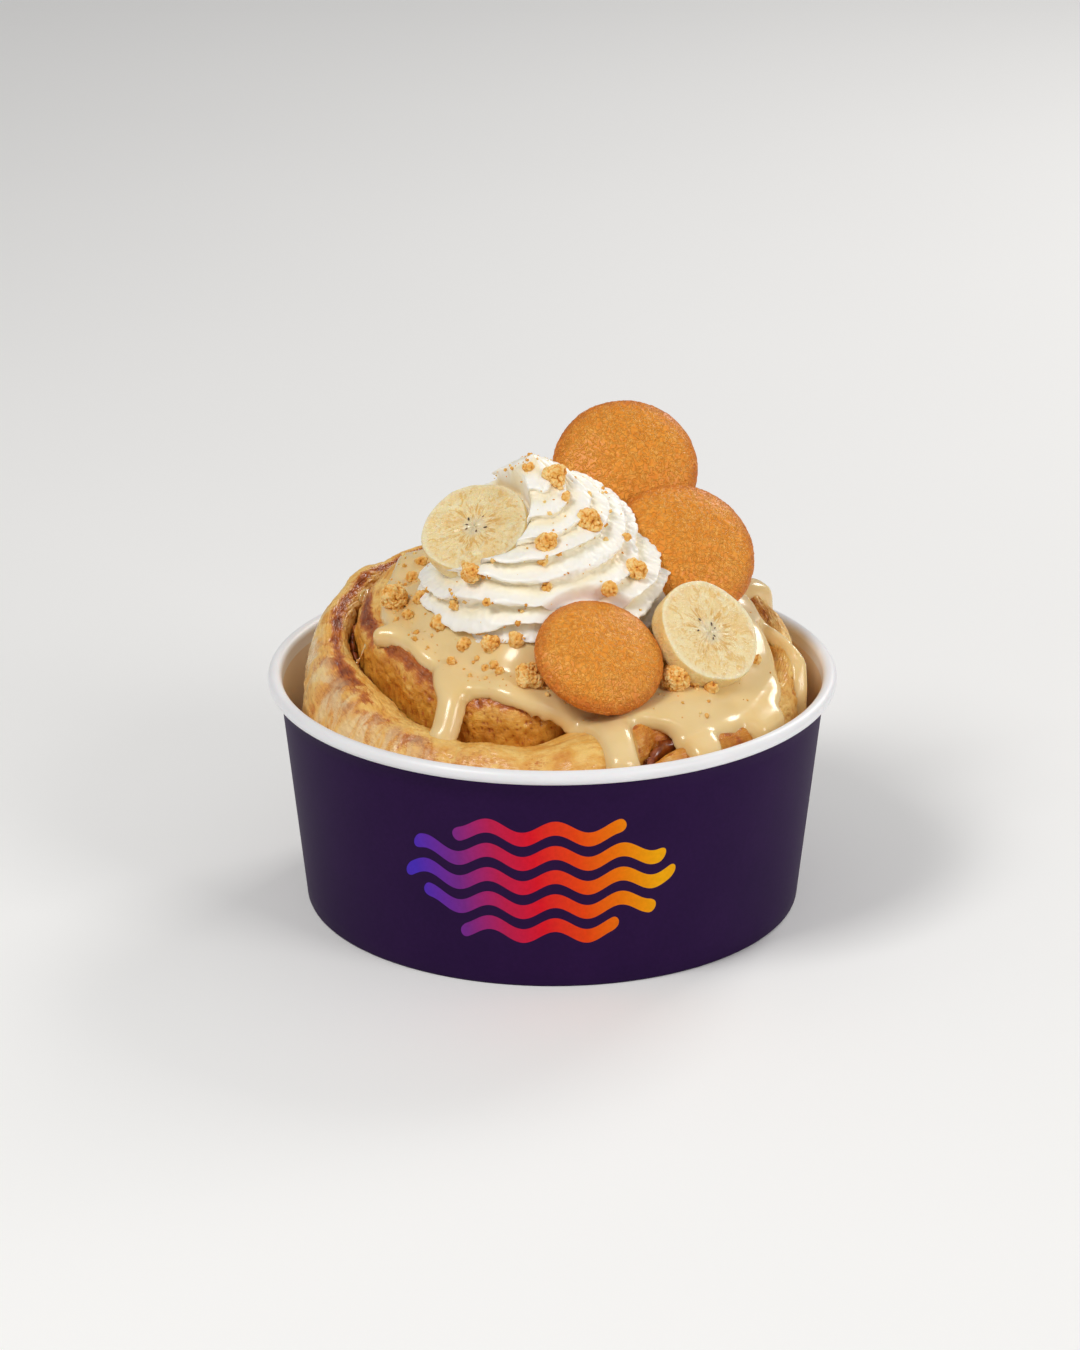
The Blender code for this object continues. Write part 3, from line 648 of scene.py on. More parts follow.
def makeCover():
    # the bun's tops with the creases bridged, which is what thick sauce lies on
    count = int(bun["radius"] / cover["step"]) + 2
    tops = []
    for column in range(cover["turnSteps"]):
        azimuth = 360.0 * column / cover["turnSteps"]
        tops.append([bunTop(row * cover["step"], azimuth) for row in range(count)])
    bridged = []
    for column in tops:
        heights = []
        for row in range(count):
            best = column[row]
            for jump in range(-cover["reach"], cover["reach"] + 1):
                near = abs(row + jump)
                if near < count:
                    best = max(best, column[near] - (jump * cover["step"]) ** 2 / cover["sag"])
            heights.append(best)
        bridged.append(heights)
    for _ in range(cover["smoothing"]):
        before = bridged[-1:] + bridged[:-1]
        after = bridged[1:] + bridged[:1]
        bridged = [
            [(p + 2 * here + n) / 4 for p, here, n in zip(*three)] for three in zip(before, bridged, after)
        ]
        for heights in bridged:
            for row in range(1, count - 4):
                heights[row] = (heights[row - 1] + 2 * heights[row] + heights[row + 1]) / 4
    return bridged


coverTable = makeCover()


def bunCover(radius, azimuth):
    column = (azimuth % 360.0) / 360.0 * cover["turnSteps"]
    row = clamp(abs(radius) / cover["step"], 0.0, len(coverTable[0]) - 1.001)
    i, j = int(column), int(row)
    here, following = coverTable[i % cover["turnSteps"]], coverTable[(i + 1) % cover["turnSteps"]]
    first = here[j] + (here[j + 1] - here[j]) * (row - j)
    second = following[j] + (following[j + 1] - following[j]) * (row - j)
    return first + (second - first) * (column - i)


doughLook = {
    "turns": (  # name, start and end of the stretch, columns, rows
        ("doughOuterTurn", 0.0, 357.0, 720, 134),
        ("doughInnerTurn", 355.0, 700.0, 600, 126),
        ("doughCentre", 699.0, 1090.0, 150, 48),
    ),
    "innerShare": 0.13,  # of the rows, up the inner face
    "topShare": 0.6,  # over the top
    "sideShare": 0.24,  # down the outer side
    "reliefFrom": 38.0,  # height; what lies lower is hidden in the bowl
    # windings over which each fades in and out
    "left": ((186, 215), (266, 292)),
    "back": ((60, 110), (195, 215)),
    "front": ((255, 300), (330, 350)),
    "glazed": ((192, 220), (286, 318)),
    "smooth": ((318, 330), (352, 356)),
    # windings over which each comes in for good
    "crestShift": (225, 290),
    "opened": (286, 310),
    "innerBrowned": (560, 600),
    "innerOpened": (560, 590),
    # patches: winding of the middle, spread
    "dark": (272, 44),
    "golden": (262, 62),
    "trickle": (310, 24),
    # windings over which the torn ends, where syrup wells out, pass into whole dough
    "outerTail": (30, 42),
    "innerTail": (388, 402),
    "lumps": 0.5,
    "wrinkles": 0.55,
    "fibres": 0.3,
    "pores": 0.6,
    "torn": 0.5,
}


def sectionPoint(winding, share):
    # radius, height, and how far across the top, of a point of the strip's closed section
    outer = outerRadius(winding)
    inner = innerRadius(winding)
    bottom = bun["bottom"]
    foot = min(outer, bun["footRadius"])
    if share < doughLook["innerShare"]:
        t = share / doughLook["innerShare"]
        return inner, bottom + (stripTop(winding, -1.0) - bottom) * (1 - (1 - t) ** 2), -1.0
    share -= doughLook["innerShare"]
    if share < doughLook["topShare"]:
        angle = math.pi * share / doughLook["topShare"]
        side = -math.cos(angle)
        power = byTurn(bun["outerPower"], winding) if side > 0 else bun["innerPower"]
        across = math.copysign(abs(side) ** (2 / power), side)
        return (outer + inner) / 2 + across * (outer - inner) / 2, stripTop(winding, across), across
    share -= doughLook["topShare"]
    if share < doughLook["sideShare"]:
        top = stripTop(winding, 1.0)
        height = top - (top - bottom) * (share / doughLook["sideShare"]) ** 1.5
        bulge = math.sin(math.pi / 2 * clamp((height - bottom) / (bun["sideHeight"] - bottom)))
        return foot + (outer - foot) * bulge, height, 1.0
    share -= doughLook["sideShare"]
    t = share / (1 - doughLook["innerShare"] - doughLook["topShare"] - doughLook["sideShare"])
    return foot + (inner - foot) * t, bottom, 1.0


def stretch(name, winding):
    rise, fall = doughLook[name]
    return between(*rise, winding) * (1 - between(*fall, winding))


def toneOf(winding, across, height, point):
    # browned crust, sugar glaze and open crumb, each from 0 to 1
    turn = int(winding // 360)
    lump = 0.5 + 0.5 * rough(point, 6.0, 4.0)
    fray = 0.5 + 0.5 * rough(point, 2.4, 8.0)
    below = stripTop(winding, 1.0) - height
    brown = 0.22 * lump
    film = 0.0
    crumb = 0.0
    if turn == 0:
        crest = -0.5 + 0.4 * between(*doughLook["crestShift"], winding)  # across, where the crust is darkest
        along = stretch("left", winding) * bell(crest, 0.2 + 0.14 * fray, across)
        brown += along * (0.1 + 0.45 * lump + 0.45 * fray)
        brown += 0.8 * bell(*doughLook["dark"], winding) * bell(crest + 0.3, 0.4, across) * lump * fray
        brown += stretch("back", winding) * bell(-0.55, 0.3, across) * (0.4 + 0.5 * lump)
        blotch = between(0.3, 0.6, 0.6 * lump + 0.4 * fray) * (1 - between(*doughLook["front"][1], winding))
        golden = 0.3 * bell(*doughLook["golden"], winding) * between(-0.1, 0.5, across) * blotch
        edge = between(-0.2, 0.8, across) * (1 - between(4.0, 10.0, below))
        golden += (0.1 + 0.4 * lump) * edge * stretch("front", winding)
        brown += min(golden, 0.26)
        tail = 1 - between(*doughLook["outerTail"], winding)
        brown += tail * (0.2 + 0.18 * fray + 0.3 * between(0.55, 0.8, fray))
        crumb = 0.9 * tail
        film = stretch("glazed", winding) * between(-0.1, 0.6, across)
        film *= 0.6 + 0.4 * fray
        film += 0.25 * bell(*doughLook["trickle"], winding) * bell(0.2, 0.6, across) * fray
        crumb += between(0.55, 0.95, across) * between(*doughLook["opened"], winding) * 0.35
    if turn == 1:
        under = bell(0.64 + 0.14 * (fray - 0.5), 0.24, across) * between(*doughLook["innerBrowned"], winding)
        brown += under * (0.25 + 0.5 * lump + 0.4 * fray) + 0.12 * between(0.8, 1.0, across) * lump
        crumb = between(0.8, 0.97, across) * between(*doughLook["innerOpened"], winding)
        tail = 1 - between(*doughLook["innerTail"], winding)
        brown += tail * (0.2 + 0.18 * fray + 0.3 * between(0.58, 0.8, fray) + 0.2 * between(5.0, 9.0, below))
        crumb += 0.9 * tail
    return clamp(brown), clamp(film), clamp(crumb)


def makeTurn(name, start, end, columns, rows):
    def place(u, v):
        winding = start + (end - start) * u
        radius, height = sectionPoint(winding, v)[:2]
        return polar(radius, bun["tailAzimuth"] + winding, height)

    bm = bentGrid(int(columns * fine), int(rows * fine), place)
    uv = bm.loops.layers.uv.active
    tone = bm.verts.layers.float_color.new("tone")
    spots = {}
    for face in bm.faces:
        for loop in face.loops:
            u, v = loop[uv].uv
            winding = start + (end - start) * u
            if loop.vert.index not in spots:
                radius, height, across = sectionPoint(winding, min(v, 0.9999))
                spots[loop.vert.index] = (winding, across)
                loop.vert[tone] = (*toneOf(winding, across, height, loop.vert.co / mm), 0.5)
            # along the strip and round its section, in decimetres
            reach = (outerRadius(winding) + innerRadius(winding)) / 2
            loop[uv].uv = (math.radians(winding) * reach * 0.01, v * 0.75)
    closeUp(bm)

    def relief(point, vert):
        if vert.index not in spots or point.z < doughLook["reliefFrom"]:
            return 0.0
        winding, across = spots[vert.index]
        brown, film, crumb = vert[tone][:3]
        turn = int(winding // 360)
        along = math.radians(winding) * (outerRadius(winding) + innerRadius(winding)) / 2
        over = 15.0 * across + (0.9 * point.z if across > 0.99 else 0.0)
        lumps = doughLook["lumps"] * (rough(point, 9.0) + 0.6 * rough(point, 4.2, 9.0))
        slant = over - 0.35 * along
        warp = 1.4 * noise.noise(Vector((along / 4.0, over / 4.0, 1.0 + turn)))
        crease = abs(noise.noise(Vector((along / 5.2, (slant + warp) / 1.9, 3.0 + turn))))
        crease = 1.0 - clamp(crease / 0.16)
        second = abs(noise.noise(Vector(((along - over) / 2.6, (over + warp) / 1.5, 9.0 + turn))))
        second = 1.0 - clamp(second / 0.14)
        syrupy = 1 - between(*doughLook["innerTail" if turn else "outerTail"], winding)
        skin = (1 - 0.75 * crumb) * (0.45 + 0.55 * brown) * (1 - 0.55 * film)
        skin *= (1 - 0.6 * stretch("smooth", winding)) * (1 - 0.7 * syrupy)
        wrinkles = -doughLook["wrinkles"] * skin * (crease + 0.45 * second)
        fibres = noise.noise(Vector((along / 2.6, (over + warp) / 0.62, 5.0))) + 0.6 * rough(point, 0.9, 3.0)
        pits = 0.0
        if crumb > 0.05 and syrupy < 0.1:
            near = noise.voronoi(point / 1.3)[0][0]
            wide = noise.voronoi(point / 2.3)[0][0]
            pits = crumb * (1 - between(0.1, 0.36, near)) + 0.8 * crumb * (1 - between(0.1, 0.3, wide))
        # the fourth channel follows the relief: low in creases and pits, which the material darkens as
        # painted shade, and high on ridges, which it lightens as painted highlights
        level = 0.5 + 0.28 * fibres - 0.45 * skin * (crease + 0.4 * second) - 0.6 * pits
        vert[tone] = (brown, film, crumb, clamp(level))
        ragged = doughLook["torn"] * between(0.86, 1.0, abs(across)) * rough(point, 1.7, 5.0)
        return lumps + wrinkles + doughLook["fibres"] * fibres * 0.5 - doughLook["pores"] * pits + ragged

    displace(bm, relief)
    return toObject(bm, name, doughMaterial)


def makeDoughMaterial():
    material, tree, shader = startMaterial(
        "bakedDough", Coat_Weight=0.3, Coat_Roughness=0.16, Subsurface_Weight=0.06,
        Subsurface_Radius=(1.0, 0.6, 0.25), Subsurface_Scale=0.0012,
    )
    place = objectPlace(tree)
    strip = addNode(tree, "UVMap", uv_map="UVMap").outputs["UV"]
    brown, film, crumb, level = toneMasks(tree)
    streaks = addNode(tree, "Mapping", {"Vector": strip, "Scale": (24.0, 80.0, 1.0)}).outputs[0]
    grain = noiseOf(tree, streaks, 2.6, 5.0, 1.1)
    patches = noiseOf(tree, place, 150.0, 5.0, 0.5, 0.6)
    tiny = noiseOf(tree, place, 900.0, 3.0, 1.0)
    base = rampOf(
        tree, patches, (0.3, paint(226, 148, 50)), (0.44, paint(240, 178, 78)), (0.58, paint(252, 208, 120)),
        (0.78, paint(242, 188, 92)),
    )
    base = mixOf(tree, rangeOf(tree, grain, 0.5, 0.7, 0.0, 0.5), base, paint(248, 208, 130))
    crumbColour = rampOf(
        tree, patches, (0.3, paint(198, 120, 26)), (0.5, paint(222, 152, 46)), (0.75, paint(242, 188, 80))
    )
    base = mixOf(tree, crumb, base, crumbColour)
    edge = stirred(tree, stirred(tree, brown, grain, 0.5), tiny, 0.35)
    crust = rampOf(
        tree, edge, (0.2, paint(238, 160, 58)), (0.42, paint(222, 136, 44)), (0.66, paint(188, 100, 32)),
        (0.98, paint(138, 64, 18)),
    )
    colour = mixOf(tree, rangeOf(tree, edge, 0.27, 0.58), base, crust)
    # painted shade: where the relief level is low, in creases and pits, the colour is darkened towards amber
    paintedCreaseShade = rangeOf(tree, level, 0.42, 0.05, 0.0, 0.7)
    colour = mixOf(tree, paintedCreaseShade, colour, mixOf(tree, 1.0, colour, paint(208, 132, 62), "MULTIPLY"))
    # painted highlight: where the relief level is high, on the ridges, the colour is lightened towards pale
    # gold
    paintedRidgeHighlight = rangeOf(tree, level, 0.54, 0.8, 0.0, 0.55)
    colour = mixOf(tree, paintedRidgeHighlight, colour, paint(250, 212, 136))
    freckles = rangeOf(tree, dotsOf(tree, place, 240.0), 0.22, 0.1)
    freckles = timesOf(tree, freckles, rangeOf(tree, patches, 0.55, 0.66))
    colour = mixOf(tree, timesOf(tree, freckles, 0.4), colour, paint(204, 118, 40))
    downward = {"Vector": strip, "Scale": (34.0, 9.0, 1.0), "Rotation": (0.0, 0.0, 0.25)}
    runs = noiseOf(tree, addNode(tree, "Mapping", downward).outputs[0], 1.0, 3.0, 0.8)
    veil = timesOf(tree, film, rangeOf(tree, runs, 0.4, 0.6, 0.05, 1.0))
    glazed = mixOf(tree, 0.5, paint(246, 206, 138), colour)
    colour = mixOf(tree, timesOf(tree, film, 0.35), colour, glazed)
    colour = mixOf(tree, timesOf(tree, veil, 0.8), colour, paint(250, 227, 178))
    wet = mathOf(tree, "MAXIMUM", veil, rangeOf(tree, patches, 0.5, 0.7, 0.0, 0.6))
    wet = mathOf(tree, "MAXIMUM", wet, rangeOf(tree, edge, 0.25, 0.5, 0.0, 0.9))
    crinkle = rangeOf(tree, crinkleOf(tree, place, 520.0, 1.4), 0.0, 0.09)
    wrinkled = bumpOf(tree, crinkle, 0.3, 0.25, bumpOf(tree, grain, 0.5, 0.45))
    wire(
        tree, shader, Base_Color=colour, Roughness=rangeOf(tree, wet, 0.0, 1.0, 0.55, 0.2),
        Normal=bumpOf(tree, tiny, 0.4, 0.2, wrinkled),
    )
    return material


doughMaterial = makeDoughMaterial()
for turnName, turnStart, turnEnd, turnColumns, turnRows in doughLook["turns"]:
    settle(makeTurn(turnName, turnStart, turnEnd, turnColumns, turnRows), "dough", "dough_roll")


# Cinnamon filling between the turns

filling = {
    "thickness": 1.5,
    "start": 1.0,
    "end": 700.0,
    "rise": 1.4,  # above where the dough's shoulders meet
    "leftSink": 1.6,  # less in the open crease at the left
    "leftCrease": (190.0, 215.0),  # windings over which that comes in
    "tailRise": 5.4,  # more where it wells out at the front
    "tailWidening": 2.0,
    "tail": (34.0, 46.0),  # windings over which both fade out
    "crown": 4.0,  # height of its rounded top
    "depth": 30.0,  # below the crown
    "lumps": 1.2,
    "grain": 0.7,
    "columns": 900,
    "rows": 26,
}


def fillingMaterial():
    material, tree, shader = startMaterial(
        "cinnamonSyrup", Roughness=0.28, Coat_Weight=0.8, Coat_Roughness=0.08
    )
    place = objectPlace(tree)
    grains = noiseOf(tree, place, 420.0, 4.0, 0.5)
    syrup = noiseOf(tree, place, 150.0, 2.0)
    colour = rampOf(
        tree, meanOf(tree, grains, syrup), (0.32, paint(70, 24, 8)), (0.46, paint(116, 46, 14)),
        (0.58, paint(160, 80, 26)), (0.75, paint(196, 118, 48)),
    )
    wire(tree, shader, Base_Color=colour, Normal=bumpOf(tree, grains, 0.6, 0.35))
    return material


def makeFilling():
    def place(u, v):
        winding = filling["start"] + (filling["end"] - filling["start"]) * u
        middle = innerRadius(winding) - bun["turnGap"] / 2
        crest = min(crestHeight(winding), crestHeight(winding + 360.0))
        tail = 1 - between(*filling["tail"], winding)
        rise = filling["rise"] + filling["tailRise"] * tail
        rise -= filling["leftSink"] * between(*filling["leftCrease"], winding)
        top = crest - byTurn(bun["innerDrop"], winding) + rise
        up = math.sin(2 * math.pi * v)
        wide = filling["thickness"] * (1 + filling["tailWidening"] * tail * max(0.0, up))
        radius = middle + wide / 2 * math.cos(2 * math.pi * v)
        height = top - filling["crown"] + (filling["crown"] if up > 0 else filling["depth"]) * up
        return polar(radius, bun["tailAzimuth"] + winding, height)

    bm = bentGrid(int(filling["columns"] * fine), filling["rows"], place)
    closeUp(bm)

    def relief(point, vert):
        return filling["lumps"] * rough(point, 2.4, 3.0) + filling["grain"] * rough(point, 1.1)

    displace(bm, relief)
    return toObject(bm, "cinnamonFilling", fillingMaterial())


settle(makeFilling(), "filling", "cinnamon_filling")


# Strands of syrup over the open crease at the left

strands = {
    # azimuth, lean over the crease in degrees, half thickness, sag
    "each": ((154.0, 3.0, 1.0, 1.2), (187.0, -1.5, 0.5, 0.5)),
    "reach": 0.95,  # how far over each turn's top they hold on
    "flare": 1.6,  # share by which the ends are thicker
    "sunk": 0.3,
    "lumps": 0.2,
    "rows": 10,
    "columns": 26,
}


def syrupMaterial():
    material, tree, shader = startMaterial(
        "paleSyrup", Roughness=0.15, Coat_Weight=0.7, Coat_Roughness=0.06, Subsurface_Weight=0.4,
        Subsurface_Radius=(1.0, 0.6, 0.25), Subsurface_Scale=0.001,
    )
    cloud = noiseOf(tree, objectPlace(tree), 300.0, 3.0)
    colour = rampOf(tree, cloud, (0.35, paint(214, 146, 70)), (0.65, paint(246, 214, 158)))
    wire(tree, shader, Base_Color=colour)
    return material


def makeStrands():
    def crest(winding, across):
        # radius and height of a place across a turn's top
        outer, inner = outerRadius(winding), innerRadius(winding)
        return Vector(((outer + inner + across * (outer - inner)) / 2, 0.0, stripTop(winding, across)))

    bm = bmesh.new()
    for azimuth, lean, thick, sag in strands["each"]:
        winding = (azimuth - bun["tailAzimuth"]) % 360.0
        start = crest(winding, -strands["reach"])
        end = crest(winding + 360.0, strands["reach"])

        def place(u, v):
            middle = start.lerp(end, u)
            size = thick * (1 + strands["flare"] * (2 * u - 1) ** 4)
            angle = 2 * math.pi * v
            height = middle.z - sag * 4 * u * (1 - u) + size * math.sin(angle) - strands["sunk"]
            turn = polar(middle.x, azimuth + lean * u, height)
            return turn + polar(size * math.cos(angle), azimuth + 90.0)

        strand = bentGrid(strands["columns"], strands["rows"], place)
        closeUp(strand)
        mesh = bpy.data.meshes.new("strand")
        strand.to_mesh(mesh)
        strand.free()
        bm.from_mesh(mesh)
        bpy.data.meshes.remove(mesh)
    displace(bm, lambda point, vert: strands["lumps"] * rough(point, 1.2))
    return toObject(bm, "syrupStrands", syrupMaterial())


settle(makeStrands(), "sauce")


# Pudding sauce

sauce = {
    "thickness": 2.2,
    "rounding": 2.8,
    "skirt": 1.1,  # how far it is kept beyond its edge, where it dips into the dough
    "dip": 1.6,
    "body": 3.6,
    "voxel": 0.61,
    "smoothing": 4,
    "farthest": 88.0,
    "lumps": 0.35,
    "plump": 0.12,
    "flatSteps": 80,  # where reach is the radius; from there on it follows the way down
    "bend": (60.5, 61.7, 62.8, 63.8, 64.6, 65.1),  # radii over the bun's shoulder
    "side": ((65.5, 2.0), (65.7, 5.0), (65.7, 9.0), (65.6, 14.0), (65.4, 22.0)),  # radius, drop
    "outlineSteps": 1800,
    "runSteps": 120,
    "farFromRun": 14.0,
    "runNarrowed": 70,  # step at which a run has come to its end width
    "runDrop": (112, 24),  # step of the drop at a run's end, spread
    "columns": 760,
    "rows": 140,
    # azimuth, reach of its edge from the middle, along the bun's top
    "edge": (
        (-180, 45.0), (-170, 44.0), (-160, 43.0), (-153, 42.4), (-146, 42.2), (-138, 41.0), (-130, 42.0),
        (-120, 44.4), (-112, 44.8), (-106, 45.8), (-99, 46.2), (-93, 45.4), (-87, 45.0), (-81, 47.5),
        (-74, 51.0), (-67, 52.5), (-61, 54.0), (-55, 56.5), (-48, 60.0), (-42, 61.8), (-36, 61.5),
        (-30, 63.0), (-22, 63.6), (-14, 60.6), (-6, 57.4), (0, 54.8), (4, 54.0), (12, 56.0), (25, 56.0),
        (48, 51.0), (58, 53.5), (68, 51.0), (84, 49.5), (96, 52.5), (104, 52.0), (116, 48.5), (130, 49.0),
        (142, 50.6), (152, 47.6), (164, 46.0), (180, 45.0),
    ),
    # runs: points of azimuth and reach, half width at the start and end, bulge at the end
    "runs": (
        (((-163.0, 41.0), (-165.5, 45.8)), 3.4, 2.6, 0.5),
        (((-128.0, 40.0), (-125.0, 45.0), (-123.2, 48.5), (-122.6, 52.0)), 6.4, 3.5, 0.5),
        (((-73.0, 46.0), (-73.6, 58.0), (-74.0, 86.0)), 6.4, 4.1, 0.3),
        (((-50.0, 54.0), (-52.6, 66.0), (-53.6, 86.0)), 6.4, 4.1, 0.3),
        (((-29.0, 56.0), (-31.0, 66.0), (-31.8, 86.0)), 8.0, 6.0, 0.3),
        (((17.0, 53.0), (8.0, 58.5), (-2.0, 63.0), (-8.5, 71.0), (-11.0, 84.0)), 1.1, 1.3, 0.0),
        (((30.0, 50.0), (31.0, 72.0)), 5.4, 3.6, 0.7),
    ),
    "fillet": 2.4,  # how softly a run leaves the sheet
}
sauceEdge = smoothCurve(sauce["edge"])


def meridian(azimuth):
    # the way sauce runs at this azimuth: reach along it, radius and height
    radii = [cover["step"] * step for step in range(sauce["flatSteps"])] + list(sauce["bend"])
    path = [(radius, radius, bunCover(radius, azimuth)) for radius in radii]
    low = path[-1][2]
    path += [(radius, radius, low - drop) for radius, drop in sauce["side"]]
    reach = radii[sauce["flatSteps"]]
    for i in range(sauce["flatSteps"] + 1, len(path)):
        reach += math.dist(path[i - 1][1:], path[i][1:])
        path[i] = (reach, *path[i][1:])
    return path


def pathPoint(path, reach):
    low, high = 0, len(path) - 1
    while high - low > 1:
        middle = (low + high) // 2
        if path[middle][0] <= reach:
            low = middle
        else:
            high = middle
    share = clamp((reach - path[low][0]) / (path[high][0] - path[low][0]))
    return (
        path[low][1] + (path[high][1] - path[low][1]) * share,
        path[low][2] + (path[high][2] - path[low][2]) * share,
    )


def sauceTop(radius, azimuth):
    inside = clamp((sauceEdge(wrapAzimuth(azimuth)) - radius) / sauce["rounding"])
    return bunCover(radius, azimuth) + sauce["thickness"] * math.sqrt(1.0 - (1.0 - inside) ** 2)


def sauceTopAt(x, y):
    return sauceTop(math.hypot(x, y), math.degrees(math.atan2(y, x)))


def sauceMaterial():
    material, tree, shader = startMaterial(
        "puddingSauce", Roughness=0.26, Coat_Weight=0.5, Coat_Roughness=0.1, Subsurface_Weight=0.3,
        Subsurface_Radius=(1.0, 0.7, 0.35), Subsurface_Scale=0.0025,
    )
    place = objectPlace(tree)
    cloud = noiseOf(tree, place, 70.0, 2.0)
    colour = rampOf(tree, cloud, (0.3, paint(236, 203, 138)), (0.7, paint(242, 213, 156)))
    some = rangeOf(tree, noiseOf(tree, place, 90.0, 2.0), 0.52, 0.66)
    speck = timesOf(tree, rangeOf(tree, dotsOf(tree, place, 420.0), 0.13, 0.05), some)
    colour = mixOf(tree, timesOf(tree, speck, 0.45), colour, paint(214, 150, 70))
    ripple = bumpOf(tree, noiseOf(tree, place, 160.0, 2.0), 0.2, 0.25)
    wire(tree, shader, Base_Color=colour, Normal=ripple)
    return material


def makeSauce():
    columns = int(sauce["columns"] * max(fine, 0.7))
    rows = int(sauce["rows"] * max(fine, 0.7))
    paths = [meridian(-180.0 + 360.0 * column / columns) for column in range(columns + 1)]

    def place(u, v):
        azimuth = -180.0 + 360.0 * u
        radius, height = pathPoint(paths[round(u * columns)], v * sauce["farthest"])
        return polar(radius, azimuth, height)

    def spotAt(azimuth, reach):
        path = paths[round((wrapAzimuth(azimuth) + 180.0) / 360.0 * columns)]
        radius, height = pathPoint(path, reach)
        return polar(radius, azimuth, height)

    outline = KDTree(sauce["outlineSteps"])
    for step in range(sauce["outlineSteps"]):
        azimuth = -180.0 + 360.0 / sauce["outlineSteps"] * step
        outline.insert(spotAt(azimuth, sauceEdge(azimuth)), step)
    outline.balance()
    runs = []
    runSteps = sauce["runSteps"]
    for points, startHalf, endHalf, bulge in sauce["runs"]:
        azimuthAt = smoothCurve([(i, point[0]) for i, point in enumerate(points)])
        reachAt = smoothCurve([(i, point[1]) for i, point in enumerate(points)])
        tree = KDTree(runSteps + 1)
        for step in range(runSteps + 1):
            along = (len(points) - 1) * step / runSteps
            tree.insert(spotAt(azimuthAt(along), reachAt(along)), step)
        tree.balance()
        runs.append((tree, startHalf, endHalf, bulge))

    def depthInside(point, azimuth, reach):
        # how far inside the sauce's outline, less than nought outside
        depth = outline.find(point)[2]
        swell = 0.0
        if reach > sauceEdge(azimuth):
            depth = -depth
        for tree, startHalf, endHalf, bulge in runs:
            step, away = tree.find(point)[1:]
            if away > sauce["farFromRun"]:
                continue
            half = startHalf + (endHalf - startHalf) * ease(step / sauce["runNarrowed"])
            fillet = min(sauce["fillet"], half)
            other = half - away
            share = clamp(0.5 + 0.5 * (other - depth) / fillet)
            depth = depth + (other - depth) * share + fillet * share * (1 - share)
            swell += bulge * clamp(other / half) * bell(*sauce["runDrop"], step)
        return depth, swell

    bm = bentGrid(columns, rows, place)
    uv = bm.loops.layers.uv.active
    inside = {}
    for face in bm.faces:
        for loop in face.loops:
            u, v = loop[uv].uv
            if loop.vert not in inside:
                inside[loop.vert] = depthInside(loop.vert.co / mm, -180.0 + 360.0 * u, v * sauce["farthest"])
    bmesh.ops.recalc_face_normals(bm, faces=bm.faces)
    if sum(face.normal.z for face in bm.faces) < 0:
        bmesh.ops.reverse_faces(bm, faces=bm.faces)

    def thickness(point, vert):
        depth, swell = inside[vert]
        if depth < 0:
            return -sauce["dip"] * clamp(-depth / sauce["skirt"])
        body = sauce["thickness"] + sauce["lumps"] * rough(point, 9.0, 2.0) + swell
        return body * math.sqrt(1 - (1 - clamp(depth / sauce["rounding"])) ** 2)

    displace(bm, thickness)
    apart = [vert for vert in bm.verts if inside[vert][0] < -sauce["skirt"]]
    bmesh.ops.delete(bm, geom=apart, context="VERTS")
    bm.normal_update()
    under = bmesh.ops.extrude_face_region(bm, geom=bm.faces[:])["geom"]
    for part in under:
        if isinstance(part, bmesh.types.BMVert):
            part.co -= sauce["body"] * mm * part.normal
    closeUp(bm)
    skin = voxelSkin(bm, sauce["voxel"] / (1.0))
    smoothed(skin, sauce["smoothing"])
    displace(skin, lambda point, vert: sauce["plump"] * rough(point, 5.0, 2.0) + sauce["plump"])
    return toObject(skin, "puddingSauce", sauceMaterial())


sauceObject = settle(makeSauce(), "sauce", "pudding_sauce")


# Toppings: where the wafers and slices lie

wafers = {
    # radius, height, middle of the widest ring, direction that the dome faces
    "wafer_top": (19.4, 9.5, (19.2, 27.15, 108.4), (0.02, -0.79, 0.61)),
    "wafer_middle": (19.4, 9.5, (34.0, 4.9, 92.9), (0.195, -0.714, 0.671)),
    "wafer_front": (17.0, 9.0, (11.9, -37.0, 79.8), (0.252, -0.554, 0.793)),
}
slices = {
    # radius, thickness, middle, direction that the cut face faces
    "banana_slice_left": (14.3, 5.5, (-19.7, -4.9, 102.3), (-0.28, -0.50, 0.82)),
    "banana_slice_right": (14.7, 5.5, (39.4, -21.5, 80.0), (0.50, -0.52, 0.69)),
}


def facing(middle, direction):
    turn = Vector(direction).normalized().to_track_quat("Z", "Y")
    return Matrix.Translation(mm * Vector(middle)) @ turn.to_matrix().to_4x4()


# Whipped cream

